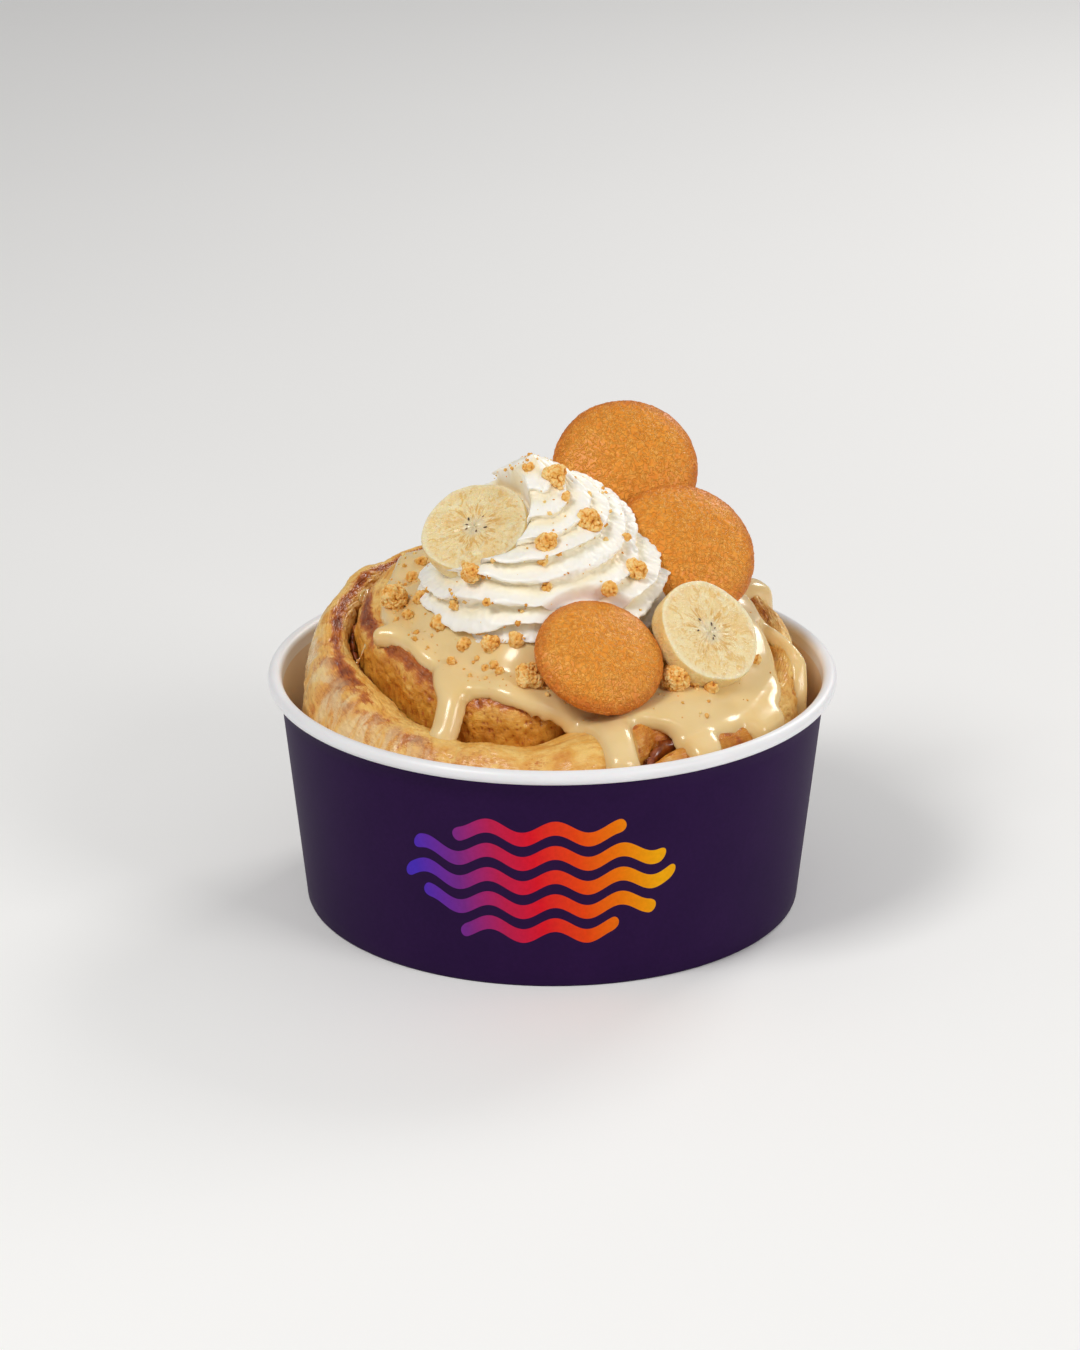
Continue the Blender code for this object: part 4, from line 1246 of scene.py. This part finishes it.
cream = {
    "centre": (-1.2, 1.0),
    "tipLean": -4.0,
    "footRadius": 33.0,
    "ridges": 8.6,
    "climb": 10,  # ridges that a level circle crosses
    "levelling": 1.2,  # turns the ridges level at this azimuth
    "levelAzimuth": -120.0,
    "ridgeDepth": 4.0,
    "overhang": 0.5,  # share of a fold that lies below its lip
    "lip": 1.4,  # larger makes the lips narrower and the hollows wider
    "grooves": 0.25,  # depth of the finer ones that run along the folds
    "ragged": 0.6,
    "coils": 2.7,
    "coilDepth": 1.4,
    "sag": 0.3,
    "sink": 3.0,
    "fade": (0.08, 0.12),  # shares over which the folds come in at the foot and go at the tip
    "waver": 0.5,
    "footBlend": 0.3,  # share over which the foot's height passes into the profile's
    "footClimb": 18.0,
    "shoulder": (-138.0, 0.45, 3.2),  # azimuth, share and size of the fold below the left slice
    "shoulderSpread": (34.0, 0.13),
    "pressMargin": 2.5,  # round a topping, over which the pressed cream rises again
    "pressGap": 0.5,
    "pressFloor": 0.6,  # least cream that stays over the sauce
    "lap": 3.5,  # how far it laps over the lower edge of a slice
    "underShare": 0.05,  # of the grid's rows, below the foot
    "columns": 440,
    "rows": 210,
    # share of the way up, radius, height
    "profile": (
        (0.0, 31.6, 80.0), (0.12, 32.4, 84.0), (0.3, 30.0, 91.5), (0.5, 24.6, 100.0),
        (0.7, 18.0, 108.0), (0.85, 11.6, 114.5), (0.95, 5.2, 119.2), (1.0, 0.5, 121.5),
    ),
}
creamRadius = smoothCurve([(p[0], p[1]) for p in cream["profile"]])
creamHeight = smoothCurve([(p[0], p[2]) for p in cream["profile"]])


def foldShape(fraction):
    # one fold: its lip at nought and one, a long slope above it and a short one below
    above = min(fraction / (1 - cream["overhang"]), 1.0)
    below = min((1 - fraction) / cream["overhang"], 1.0)
    return max(0.5 + 0.5 * math.cos(math.pi * above), 0.5 + 0.5 * math.cos(math.pi * below)) ** cream["lip"]


def creamFold(share, azimuth):
    # the fold's rise, its strength, its ragged fringe and a fine groove at a place of the cream
    around = polar(1.0, azimuth)

    def ripple(size, height, shift=0.0):
        # noise round the cream that meets itself again after a turn
        return noise.noise(Vector((around.x * size + shift, around.y * size, height)))

    warp = 0.5 * ripple(1.3, share * 3.4) + 0.12 * ripple(4.2, share * 9.0 + 5.0)
    warp += cream["levelling"] * math.sin(math.radians(azimuth - cream["levelAzimuth"]))
    phase = cream["ridges"] * share - cream["climb"] * azimuth / 360.0 + warp
    fold = foldShape(phase % 1.0)
    ridge = math.floor(phase + cream["overhang"]) % cream["climb"]
    which = ridge * 3.7
    right = 0.5 + 0.5 * math.cos(math.radians(azimuth + 20.0))
    strength = 0.95 + 0.6 * ripple(1.8, which, which)
    strength *= 1.15 - 0.15 * right - (0.3 * (1 - right) if ridge % 2 else 0.0)
    fringe = ripple(7.0, which) + 0.4 * ripple(15.0, which)
    streak = ripple(2.2, share * 3.0 + 7.0)
    groove = math.cos(2 * math.pi * (3 * phase + 1.5 * streak)) * (0.5 + 0.9 * abs(streak))
    return fold, strength, fringe * (0.4 + 1.1 * right) * (1 - 0.6 * share) * fold**2, groove


def creamPoint(share, azimuth, out=0.0):
    fold, strength, fringe, groove = creamFold(share, azimuth)
    coil = math.cos(2 * math.pi * (cream["coils"] * share - azimuth / 360.0) + 0.6)
    fade = ease(share / cream["fade"][0]) * ease((1.0 - share) / cream["fade"][1])
    radius = creamRadius(share) + out
    depth = cream["ridgeDepth"] * (1 - 0.3 * share) * (1 - 0.6 * between(0.75, 0.95, share))
    radius += fade * (depth * strength * (fold - 0.42) + cream["coilDepth"] * coil / 2)
    radius += fade * (cream["ragged"] * fringe + cream["grooves"] * groove)
    radius += cream["waver"] * fade * math.sin(math.radians(3 * azimuth + 40))
    where, height, size = cream["shoulder"]
    wide, high = cream["shoulderSpread"]
    radius += size * bell(0.0, wide, wrapAzimuth(azimuth - where)) * bell(height, high, share)
    place = Vector((*cream["centre"], 0.0)) + polar(radius, azimuth)
    place.x += cream["tipLean"] * share**3
    foot = sauceTopAt(place.x, place.y)
    blend = ease(share / cream["footBlend"])
    place.z = (foot + cream["footClimb"] * share) * (1 - blend) + creamHeight(share) * blend
    place.z -= fade * cream["sag"] * strength * fold
    return place


def pressToppings(bm):
    # pushes the cream down under the slices and the wafer that lie on its flank
    pressing = [(values[0], values[2], values[3]) for values in slices.values()]
    pressing.append((wafers["wafer_front"][0], *wafers["wafer_front"][2:]))
    for radius, middle, direction in pressing:
        normal = Vector(direction).normalized()
        for vert in bm.verts:
            offset = vert.co / mm - Vector(middle)
            above = offset.dot(normal)
            aside = offset - above * normal
            lap = cream["lap"] * between(0.2, 0.8, -aside.z / radius) if middle[0] < 0 else 0.0
            if above > 0.0:
                beyond = aside.length - radius - cream["pressGap"] + lap
                push = above * (1.0 - ease(beyond / cream["pressMargin"]))
                pressed = vert.co / mm - push * normal
                floor = sauceTopAt(pressed.x, pressed.y) + cream["pressFloor"]
                height = vert.co.z / mm
                pressed.z = max(pressed.z, min(height, floor + 0.1 * (height - floor)))
                vert.co = mm * pressed


def creamMaterial():
    material, tree, shader = startMaterial(
        "whippedCream", Roughness=0.42, Coat_Weight=0.15, Coat_Roughness=0.22, Subsurface_Weight=0.28,
        Subsurface_Radius=(1.0, 0.85, 0.6), Subsurface_Scale=0.0018,
    )
    place = objectPlace(tree)
    # painted shade: where the fold level is low, in the hollows between folds, the cream is painted a darker
    # warm colour, and the lips are painted near white
    rise = stirred(tree, toneMasks(tree)[0], noiseOf(tree, place, 110.0, 2.0), 0.6)
    colour = rampOf(
        tree, rise, (0.0, paint(250, 236, 206)), (0.25, paint(253, 246, 226)), (0.6, paint(255, 251, 240))
    )
    soft = bumpOf(tree, noiseOf(tree, place, 260.0, 2.0), 0.25, 0.3)
    froth = bumpOf(tree, noiseOf(tree, place, 900.0, 3.0), 0.25, 0.06, soft)
    wire(tree, shader, Base_Color=colour, Normal=froth)
    return material


def makeCream():
    under = cream["underShare"]

    def spot(u, v):
        # share of the way up and azimuth; the grid's seam is at the back
        return (v - under) / (1 - under), 90.0 + 360.0 * u

    def place(u, v):
        share, azimuth = spot(u, v)
        if v < under:
            radius = cream["footRadius"] * 0.95 * (v / under)
            point = Vector((*cream["centre"], 0.0)) + polar(radius, azimuth)
            point.z = sauceTopAt(point.x, point.y) - cream["sink"]
            return point
        return creamPoint(share, azimuth)

    bm = bentGrid(int(cream["columns"] * fine), int(cream["rows"] * fine), place)
    uv = bm.loops.layers.uv.active
    # the tone holds each vertex's fold level, which the material turns into painted shade in the hollows
    tone = bm.verts.layers.float_color.new("tone")
    for vert in bm.verts:
        if vert.link_loops:
            level = clamp(creamFold(*spot(*vert.link_loops[0][uv].uv))[0])
            vert[tone] = (level, level, level, 1.0)
    closeUp(bm)

    def relief(point, vert):
        torn = 0.22 + 0.3 * between(-5.0, 25.0, point.x)
        return 0.2 * rough(point, 2.0) + torn * rough(point, 1.1, 6.0) + 0.45 * rough(point, 6.0, 2.0)

    displace(bm, relief)
    smoothed(bm, 1, 0.25)
    pressToppings(bm)
    return toObject(bm, "whippedCream", creamMaterial())


settle(makeCream(), "cream", "whipped_cream")


# Wafers

waferLook = {
    "edge": 2.6,
    # share of the edge's height, how far inside the widest ring
    "rounding": ((0.2, 0.02), (0.45, 0.25), (0.7, 0.75), (0.88, 1.35), (1.0, 2.2)),
    "steps": 340,
    "rings": 84,
    "innerRings": 40,  # of the flat underside
    "bark": 0.2,
    "domePower": 1.15,
}


def waferProfile(radius, height):
    crown = height - waferLook["edge"]
    rings = int(waferLook["rings"] * fine)
    profile = []
    for step in range(rings + 1):
        angle = math.pi / 2 * step / rings
        rise = max(0.0, math.cos(angle)) ** waferLook["domePower"]
        profile.append((radius * math.sin(angle), crown * rise))
    for share, inset in waferLook["rounding"]:
        profile.append((radius - inset, -waferLook["edge"] * share))
    flatRadius = profile[-1][0]
    inner = int(waferLook["innerRings"] * fine)
    for step in range(1, inner + 1):
        profile.append((flatRadius * (1 - step / inner), -waferLook["edge"]))
    return profile


def waferMaterial():
    material, tree, shader = startMaterial("bakedWafer", Roughness=0.42, Specular_IOR_Level=0.4)
    place = objectPlace(tree)
    # red: painted shade towards the rim and under the wafer; green: the crinkle level, low in the creases
    rim, bark = toneMasks(tree)[:2]
    worms = rangeOf(tree, crinkleOf(tree, place, 780.0, 1.0), 0.09, 0.0)
    mixed = meanOf(tree, worms, bark)
    # painted shade in the creases and a painted highlight on the ridge tops, from the crinkle level
    base = rampOf(
        tree, mixed, (0.05, paint(232, 140, 36)), (0.45, paint(243, 160, 54)), (0.95, paint(252, 180, 82))
    )
    waferInShade = rampOf(
        tree, mixed, (0.05, paint(208, 108, 26)), (0.45, paint(226, 130, 38)), (0.95, paint(240, 152, 60))
    )
    # painted shade: the rim and the underside take the darker colour
    shade = stirred(tree, rim, noiseOf(tree, place, 90.0, 3.0), 0.6, clampIt=True)
    wire(tree, shader, Base_Color=mixOf(tree, shade, base, waferInShade), Normal=bumpOf(tree, worms, 0.8, 0.35))
    return material


def makeWafer(name, material):
    radius, height, middle, direction = wafers[name]
    bm = spinProfile(waferProfile(radius, height), int(waferLook["steps"] * fine))
    closeUp(bm)
    tone = bm.verts.layers.float_color.new("tone")
    shift = 11.0 * len(name)

    def bark(point, vert):
        warp = Vector([rough(point, 1.9, shift + 40.0 * axis) for axis in range(3)])
        worm = clamp(abs(rough(point + 0.9 * warp, 1.5, shift)) / 0.3)
        fold = clamp(abs(rough(point + 1.5 * warp, 2.6, shift + 5.0)) / 0.3)
        level = 1.0 - 0.6 * worm - 0.4 * fold
        share = math.hypot(point.x, point.y) / radius
        under = between(0.0, -2.0, point.z)
        # red carries painted shade towards the rim and on the underside; green the crinkle level for painted
        # shade in the creases
        vert[tone] = (clamp(between(0.78, 1.04, share) + 0.4 * under), level, 0.0, 1.0)
        return waferLook["bark"] * (level - 0.4) + 0.2 * rough(point, 7.0, shift)

    displace(bm, bark)
    bmesh.ops.transform(bm, matrix=facing(middle, direction), verts=bm.verts)
    return toObject(bm, pieceName(name), material)


bakedWafer = waferMaterial()
for waferName in wafers:
    settle(makeWafer(waferName, bakedWafer), "wafer", waferName)


# Banana slices

slicesLook = {
    "columns": 160,
    "rows": 90,
    "underShare": 0.2,  # of the rows, over the underside
    "wallShare": 0.3,
    "flat": 0.93,  # share of the radius at which the rounded wall begins
    "wallPower": 0.35,
    "seeds": 6,
    "seedRing": 0.2,  # share of the radius
    "seedSize": (0.2, 0.36),
    "seedShape": (1.7, 0.8, 0.5),
    "seedSunk": 0.12,
    "seedTurn": (-26, 26),  # out of its even place
    "seedAway": (0.55, 1.35),
}


def sliceOutline(azimuth):
    five = 0.012 * math.cos(math.radians(5 * azimuth + 20))
    two = 0.015 * math.cos(math.radians(2 * azimuth - 50))
    return 1.0 + five + two


def bananaMaterial():
    material, tree, shader = startMaterial(
        "bananaFlesh", Roughness=0.34, Coat_Weight=0.4, Coat_Roughness=0.15, Subsurface_Weight=0.4,
        Subsurface_Radius=(1.0, 0.75, 0.35), Subsurface_Scale=0.002,
    )
    flat = addNode(tree, "UVMap", uv_map="UVMap").outputs["UV"]
    place = objectPlace(tree)
    far, side = toneMasks(tree)[:2]
    stretched = addNode(tree, "Mapping", {"Vector": flat, "Scale": (4.5, 34.0, 1.0)}).outputs[0]
    rays = noiseOf(tree, stretched, 1.0, 4.0, 1.3)
    cells = noiseOf(tree, place, 520.0, 3.0, 1.2)
    cloud = noiseOf(tree, place, 160.0, 3.0, 0.6)
    flesh = rampOf(
        tree, cloud, (0.3, paint(243, 206, 138)), (0.5, paint(250, 222, 162)), (0.75, paint(254, 235, 186))
    )
    flesh = mixOf(tree, rangeOf(tree, rays, 0.5, 0.64, 0.0, 0.75), flesh, paint(234, 190, 104))
    flesh = mixOf(tree, rangeOf(tree, cells, 0.5, 0.68, 0.0, 0.5), flesh, paint(254, 240, 206))
    heart = stirred(tree, far, cloud, 0.22)
    amber = timesOf(tree, rangeOf(tree, heart, 0.6, 0.36), rangeOf(tree, rays, 0.46, 0.6))
    flesh = mixOf(tree, timesOf(tree, amber, 0.85), flesh, paint(226, 176, 92))
    flesh = mixOf(tree, rangeOf(tree, heart, 0.3, 0.14), flesh, paint(240, 222, 180))
    flesh = mixOf(tree, rangeOf(tree, far, 0.84, 0.97, 0.0, 0.75), flesh, paint(254, 238, 202))
    skin = rampOf(tree, cloud, (0.3, paint(242, 204, 124)), (0.7, paint(252, 228, 168)))
    crinkle = rangeOf(tree, crinkleOf(tree, place, 600.0, 1.6), 0.1, 0.0)
    wrinkled = bumpOf(tree, crinkle, 0.5, 0.3, bumpOf(tree, rays, 0.7, 0.4))
    colour = mixOf(tree, side, flesh, skin)
    wire(tree, shader, Base_Color=colour, Normal=bumpOf(tree, cells, 0.5, 0.2, wrinkled))
    return material


def makeSlice(name, material):
    radius, thickness, middle, direction = slices[name]

    under, flat = slicesLook["underShare"], slicesLook["flat"]
    upper = under + slicesLook["wallShare"]

    def place(u, v):
        # from the middle of the underside, out, up the wall and in again
        azimuth = 360.0 * u
        if v < under:
            share, height = v / under * flat, -0.5
        elif v < upper:
            angle = math.pi * ((v - under) / slicesLook["wallShare"] - 0.5)
            share = flat + (1 - flat) * math.cos(angle) ** slicesLook["wallPower"]
            height = 0.5 * math.sin(angle)
        else:
            share, height = flat * (1 - (v - upper) / (1 - upper)), 0.5
        return polar(radius * sliceOutline(azimuth) * share, azimuth, height * thickness)

    def farOut(point):
        return math.hypot(point.x, point.y) / radius

    bm = bentGrid(int(slicesLook["columns"] * fine), int(slicesLook["rows"] * fine), place)
    uv = bm.loops.layers.uv.active
    tone = bm.verts.layers.float_color.new("tone")
    for face in bm.faces:
        for loop in face.loops:
            loop[uv].uv = (farOut(loop.vert.co / mm), loop[uv].uv[0])
    closeUp(bm)
    for vert in bm.verts:
        wall = 1 - between(0.3, 0.8, abs(vert.normal.z))
        vert[tone] = (clamp(farOut(vert.co / mm)), clamp(wall), 0.0, 1.0)
    shift = 3.0 * len(name)

    def relief(point, vert):
        far = farOut(point)
        turn = math.atan2(point.y, point.x)
        if vert.normal.z > 0.6:
            lobes = -0.35 * bell(0.0, 0.3, far) * (1 + 0.6 * math.cos(3 * turn))
            seam = -0.3 * bell(0.0, 0.12, math.sin(1.5 * turn + shift))
            seam *= between(0.08, 0.2, far) * (1 - between(0.3, 0.5, far))
            return lobes + seam + 0.1 * rough(point, 1.6, shift) + 0.18 * rough(point, 5.0, shift)
        return 0.22 * rough(point, 4.0, shift) + 0.08 * rough(point, 1.2, shift)

    displace(bm, relief)
    bmesh.ops.transform(bm, matrix=facing(middle, direction), verts=bm.verts)
    return toObject(bm, pieceName(name), material)


def makeSeeds():
    bm = bmesh.new()
    rng = random.Random(5)
    for radius, thickness, middle, direction in slices.values():
        where = facing(middle, direction)
        for seed in range(slicesLook["seeds"]):
            azimuth = 360.0 * seed / slicesLook["seeds"] + rng.uniform(*slicesLook["seedTurn"])
            ring = radius * slicesLook["seedRing"] * rng.uniform(*slicesLook["seedAway"])
            spot = polar(ring, azimuth, thickness / 2 - slicesLook["seedSunk"])
            size = rng.uniform(*slicesLook["seedSize"])
            shape = Matrix.Diagonal((*[mm * size * part for part in slicesLook["seedShape"]], 1.0))
            turn = Matrix.Rotation(math.radians(azimuth + rng.uniform(-25, 25)), 4, "Z")
            bmesh.ops.create_icosphere(
                bm, subdivisions=2, radius=1.0, matrix=where @ Matrix.Translation(mm * spot) @ turn @ shape
            )
    material, tree, shader = startMaterial("bananaSeed", Roughness=0.5)
    shade = noiseOf(tree, objectPlace(tree), 1500.0)
    wire(tree, shader, Base_Color=rampOf(tree, shade, (0.35, paint(58, 40, 26)), (0.65, paint(110, 82, 56))))
    bm.normal_update()
    return toObject(bm, "bananaSeeds", material)


bananaFlesh = bananaMaterial()
for sliceName in slices:
    settle(makeSlice(sliceName, bananaFlesh), "banana", sliceName)
settle(makeSeeds(), "banana")


# Biscuit crumbs: nuggets, small bits and dust

crumbs = {
    # size, azimuth and radius on the sauce
    "onSauce": {
        "crumb_left": (8.6, 179.0, 41.5),
        "crumb_front": (7.6, -98.5, 39.5),
        "crumb_right": (9.0, -46.5, 46.0),
        "crumb_small": (5.4, -118.1, 34.0),
    },
    # size, azimuth and share of the way up the cream
    "onCream": {
        "crumb_cream_high": (6.6, -50.0, 0.92),
        "crumb_cream_upper": (7.8, -48.0, 0.70),
        "crumb_cream_middle": (6.4, -89.0, 0.62),
        "crumb_cream_left": (6.0, -131.0, 0.43),
        "crumb_cream_right": (5.6, -36.0, 0.41),
    },
    "sauceBits": (
        (4.4, -131.0, 34.6), (4.8, -126.0, 31.2), (4.6, -105.8, 33.4), (3.2, -113.3, 37.2),
        (5.0, -149.0, 34.2), (4.4, -172.0, 34.6), (4.0, -38.8, 52.5), (3.2, -16.5, 55.2),
        (3.2, -168.0, 38.6), (3.4, 158.0, 40.0), (3.2, 146.0, 42.0), (2.6, -110.5, 38.6),
        (2.4, -132.0, 39.0), (2.6, -164.5, 43.6), (2.4, -117.0, 37.6), (2.2, -41.5, 49.0),
    ),
    "creamBits": (
        (4.6, -57.0, 0.35), (3.0, -109.0, 0.96), (2.8, -90.0, 0.38), (3.0, -92.0, 0.53),
        (3.0, -141.0, 0.21), (3.2, 60.0, 0.4), (3.4, 120.0, 0.35), (2.6, -118.0, 0.31),
        (2.6, -30.0, 0.59), (2.4, -56.0, 0.84), (2.2, -20.0, 0.8),
    ),
    # share of the size by which the middle stands off what it lies on
    "standOff": {"onSauce": 0.26, "onCream": 0.14, "sauceBits": 0.3, "creamBits": 0.15},
    "spread": 0.6,  # radius of a nugget as a share of its size
    "heart": 0.66,  # radius of its middle lump; the lobes are round it
    "lobes": 5,
    "lobeAway": (0.32, 0.55),
    "lobeRadius": (0.3, 0.48),
    "granule": 0.85,
    "dustOnSauce": 420,
    "dustOnCream": 230,
    "dustSize": (0.18, 0.6),  # the least, and how much more the largest has
    "dustRing": (24, 60.0),  # radii on the sauce
}


def crumbMaterial():
    material, tree, shader = startMaterial(
        "biscuitCrumb", Roughness=0.82, Subsurface_Weight=0.15, Subsurface_Scale=0.001
    )
    grain = noiseOf(tree, objectPlace(tree), 900.0, 4.0)
    # painted shade and highlight: from the granules' height, the recesses are darkened and the tips painted
    # pale
    mixed = stirred(tree, toneMasks(tree)[0], grain, 0.5, clampIt=True)
    colour = rampOf(
        tree, mixed, (0.08, paint(190, 110, 32)), (0.35, paint(220, 150, 58)), (0.65, paint(238, 176, 84)),
        (0.98, paint(250, 214, 142)),
    )
    wire(tree, shader, Base_Color=colour, Normal=bumpOf(tree, grain, 0.6, 0.2))
    return material


def granule(point, size):
    # height of the round grain that the point lies on, from 0 to 1
    return math.sqrt(1 - clamp(noise.voronoi(point / size)[0][0] / 0.85) ** 2)


def addNugget(bm, size, place, detail, rng):
    # a broken bit of biscuit: a few lumps run together and covered in granules
    shift = Vector((rng.uniform(-50, 50), rng.uniform(-50, 50), rng.uniform(-50, 50)))
    lobes = [(Vector((0.0, 0.0, 0.0)), crumbs["heart"])]
    for _ in range(crumbs["lobes"]):
        way = Vector((rng.uniform(-1, 1), rng.uniform(-1, 1), rng.uniform(-0.8, 0.8))).normalized()
        lobes.append((way * rng.uniform(*crumbs["lobeAway"]), rng.uniform(*crumbs["lobeRadius"])))
    tone = bm.verts.layers.float_color.get("tone") or bm.verts.layers.float_color.new("tone")
    made = bmesh.ops.create_icosphere(bm, subdivisions=detail, radius=1.0)["verts"]
    for vert in made:
        way = vert.co.normalized()
        reach = 0.0
        for middle, radius in lobes:
            along = middle.dot(way)
            square = along * along - middle.length_squared + radius * radius
            if square > 0.0:
                reach = max(reach, along + math.sqrt(square))
        spot = crumbs["spread"] * size * reach * way
        warp = 0.3 * Vector([rough(spot + times * shift, 1.2) for times in (1, -1, 2)])
        bead = granule(spot + 3 * shift + warp, crumbs["granule"])
        finer = granule(spot - 2 * shift + warp, 0.55 * crumbs["granule"])
        rise = 0.75 * bead + 0.3 * finer + 0.4 * rough(spot + shift, 1.8) - 0.6
        vert.co = mm * (spot + rise * way + place)
        # the tone follows the granules' height, for painted shade in the recesses and painted highlights on
        # the tips
        level = clamp(0.75 * bead + 0.3 * finer - 0.05 + 0.3 * rough(spot, 2.2))
        vert[tone] = (level, level, level, 1.0)


def makeNugget(name, size, place, seed, material):
    bm = bmesh.new()
    addNugget(bm, size, place, 6 if fine == 1.0 else 4, random.Random(seed))
    closeUp(bm)
    return toObject(bm, "biscuit" + pieceName(name), material)


def makeBits(name, places, material):
    bm = bmesh.new()
    for seed, (size, place) in enumerate(places):
        addNugget(bm, size, place, 4, random.Random(200 + seed))
    bm.normal_update()
    return toObject(bm, name, material)


def makeDust(name, count, seed, spotFor, material):
    rng = random.Random(seed)
    bm = bmesh.new()
    tone = bm.verts.layers.float_color.new("tone")
    least, more = crumbs["dustSize"]
    for _ in range(int(count * fine)):
        place = spotFor(rng)
        size = least + more * rng.random() ** 3.0
        shift = Vector((rng.uniform(-50, 50), rng.uniform(-50, 50), 0.0))
        level = rng.uniform(0.35, 1.0)
        made = bmesh.ops.create_icosphere(bm, subdivisions=2 if size > 0.4 else 1, radius=1.0)["verts"]
        for vert in made:
            way = vert.co.normalized()
            vert.co = mm * (place + size * way * (1 + 0.8 * noise.noise(way * 1.7 + shift)))
            vert[tone] = (level, level, level, 1.0)
    bm.normal_update()
    return toObject(bm, name, material)


def underTopping(spot):
    pieces = [(values[0], values[2]) for values in (*slices.values(), *wafers.values())]
    return any((spot - Vector(middle)).length < radius + 1.0 for radius, middle in pieces)


def surfaceBelow(made):
    tree = BVHTree.FromObject(made, bpy.context.evaluated_depsgraph_get())

    def drop(x, y, fallback):
        hit = tree.ray_cast(Vector((mm * x, mm * y, 0.2)), Vector((0, 0, -1)))[0]
        return hit.z / mm if hit else fallback

    return drop


def makeCrumbs():
    material = crumbMaterial()
    onSauce = surfaceBelow(sauceObject)
    standOff = crumbs["standOff"]
    for seed, (name, (size, azimuth, radius)) in enumerate(crumbs["onSauce"].items()):
        place = polar(radius, azimuth, sauceTop(radius, azimuth) + standOff["onSauce"] * size)
        settle(makeNugget(name, size, place, seed + 3, material), "crumb", name)
    for seed, (name, (size, azimuth, share)) in enumerate(crumbs["onCream"].items()):
        place = creamPoint(share, azimuth, standOff["onCream"] * size)
        settle(makeNugget(name, size, place, seed + 30, material), "crumb", name)
    places = [
        (size, polar(radius, azimuth, sauceTop(radius, azimuth) + standOff["sauceBits"] * size))
        for size, azimuth, radius in crumbs["sauceBits"]
    ]
    settle(makeBits("sauceCrumbs", places, material), "crumb")
    places = [
        (size, creamPoint(share, azimuth, standOff["creamBits"] * size))
        for size, azimuth, share in crumbs["creamBits"]
    ]
    settle(makeBits("creamCrumbs", places, material), "crumb")

    def sauceSpot(rng):
        nearest, farthest = crumbs["dustRing"]
        while True:
            azimuth = rng.uniform(-180, 180)
            radius = rng.uniform(nearest, min(sauceEdge(azimuth), farthest) - 1.0)
            spot = polar(radius, azimuth)
            if math.hypot(spot.x - cream["centre"][0], spot.y - cream["centre"][1]) > cream["footRadius"] - 2:
                spot.z = onSauce(spot.x, spot.y, sauceTop(radius, azimuth)) + 0.05
                return spot

    def creamSpot(rng):
        while True:
            spot = creamPoint(rng.uniform(0.02, 0.98) ** 0.9, rng.uniform(-180, 180), 0.1)
            if not underTopping(spot):
                return spot

    settle(makeDust("sauceDust", crumbs["dustOnSauce"], 41, sauceSpot, material), "crumb")
    settle(makeDust("creamDust", crumbs["dustOnCream"], 42, creamSpot, material), "crumb")


makeCrumbs()
print("crumbs scattered")
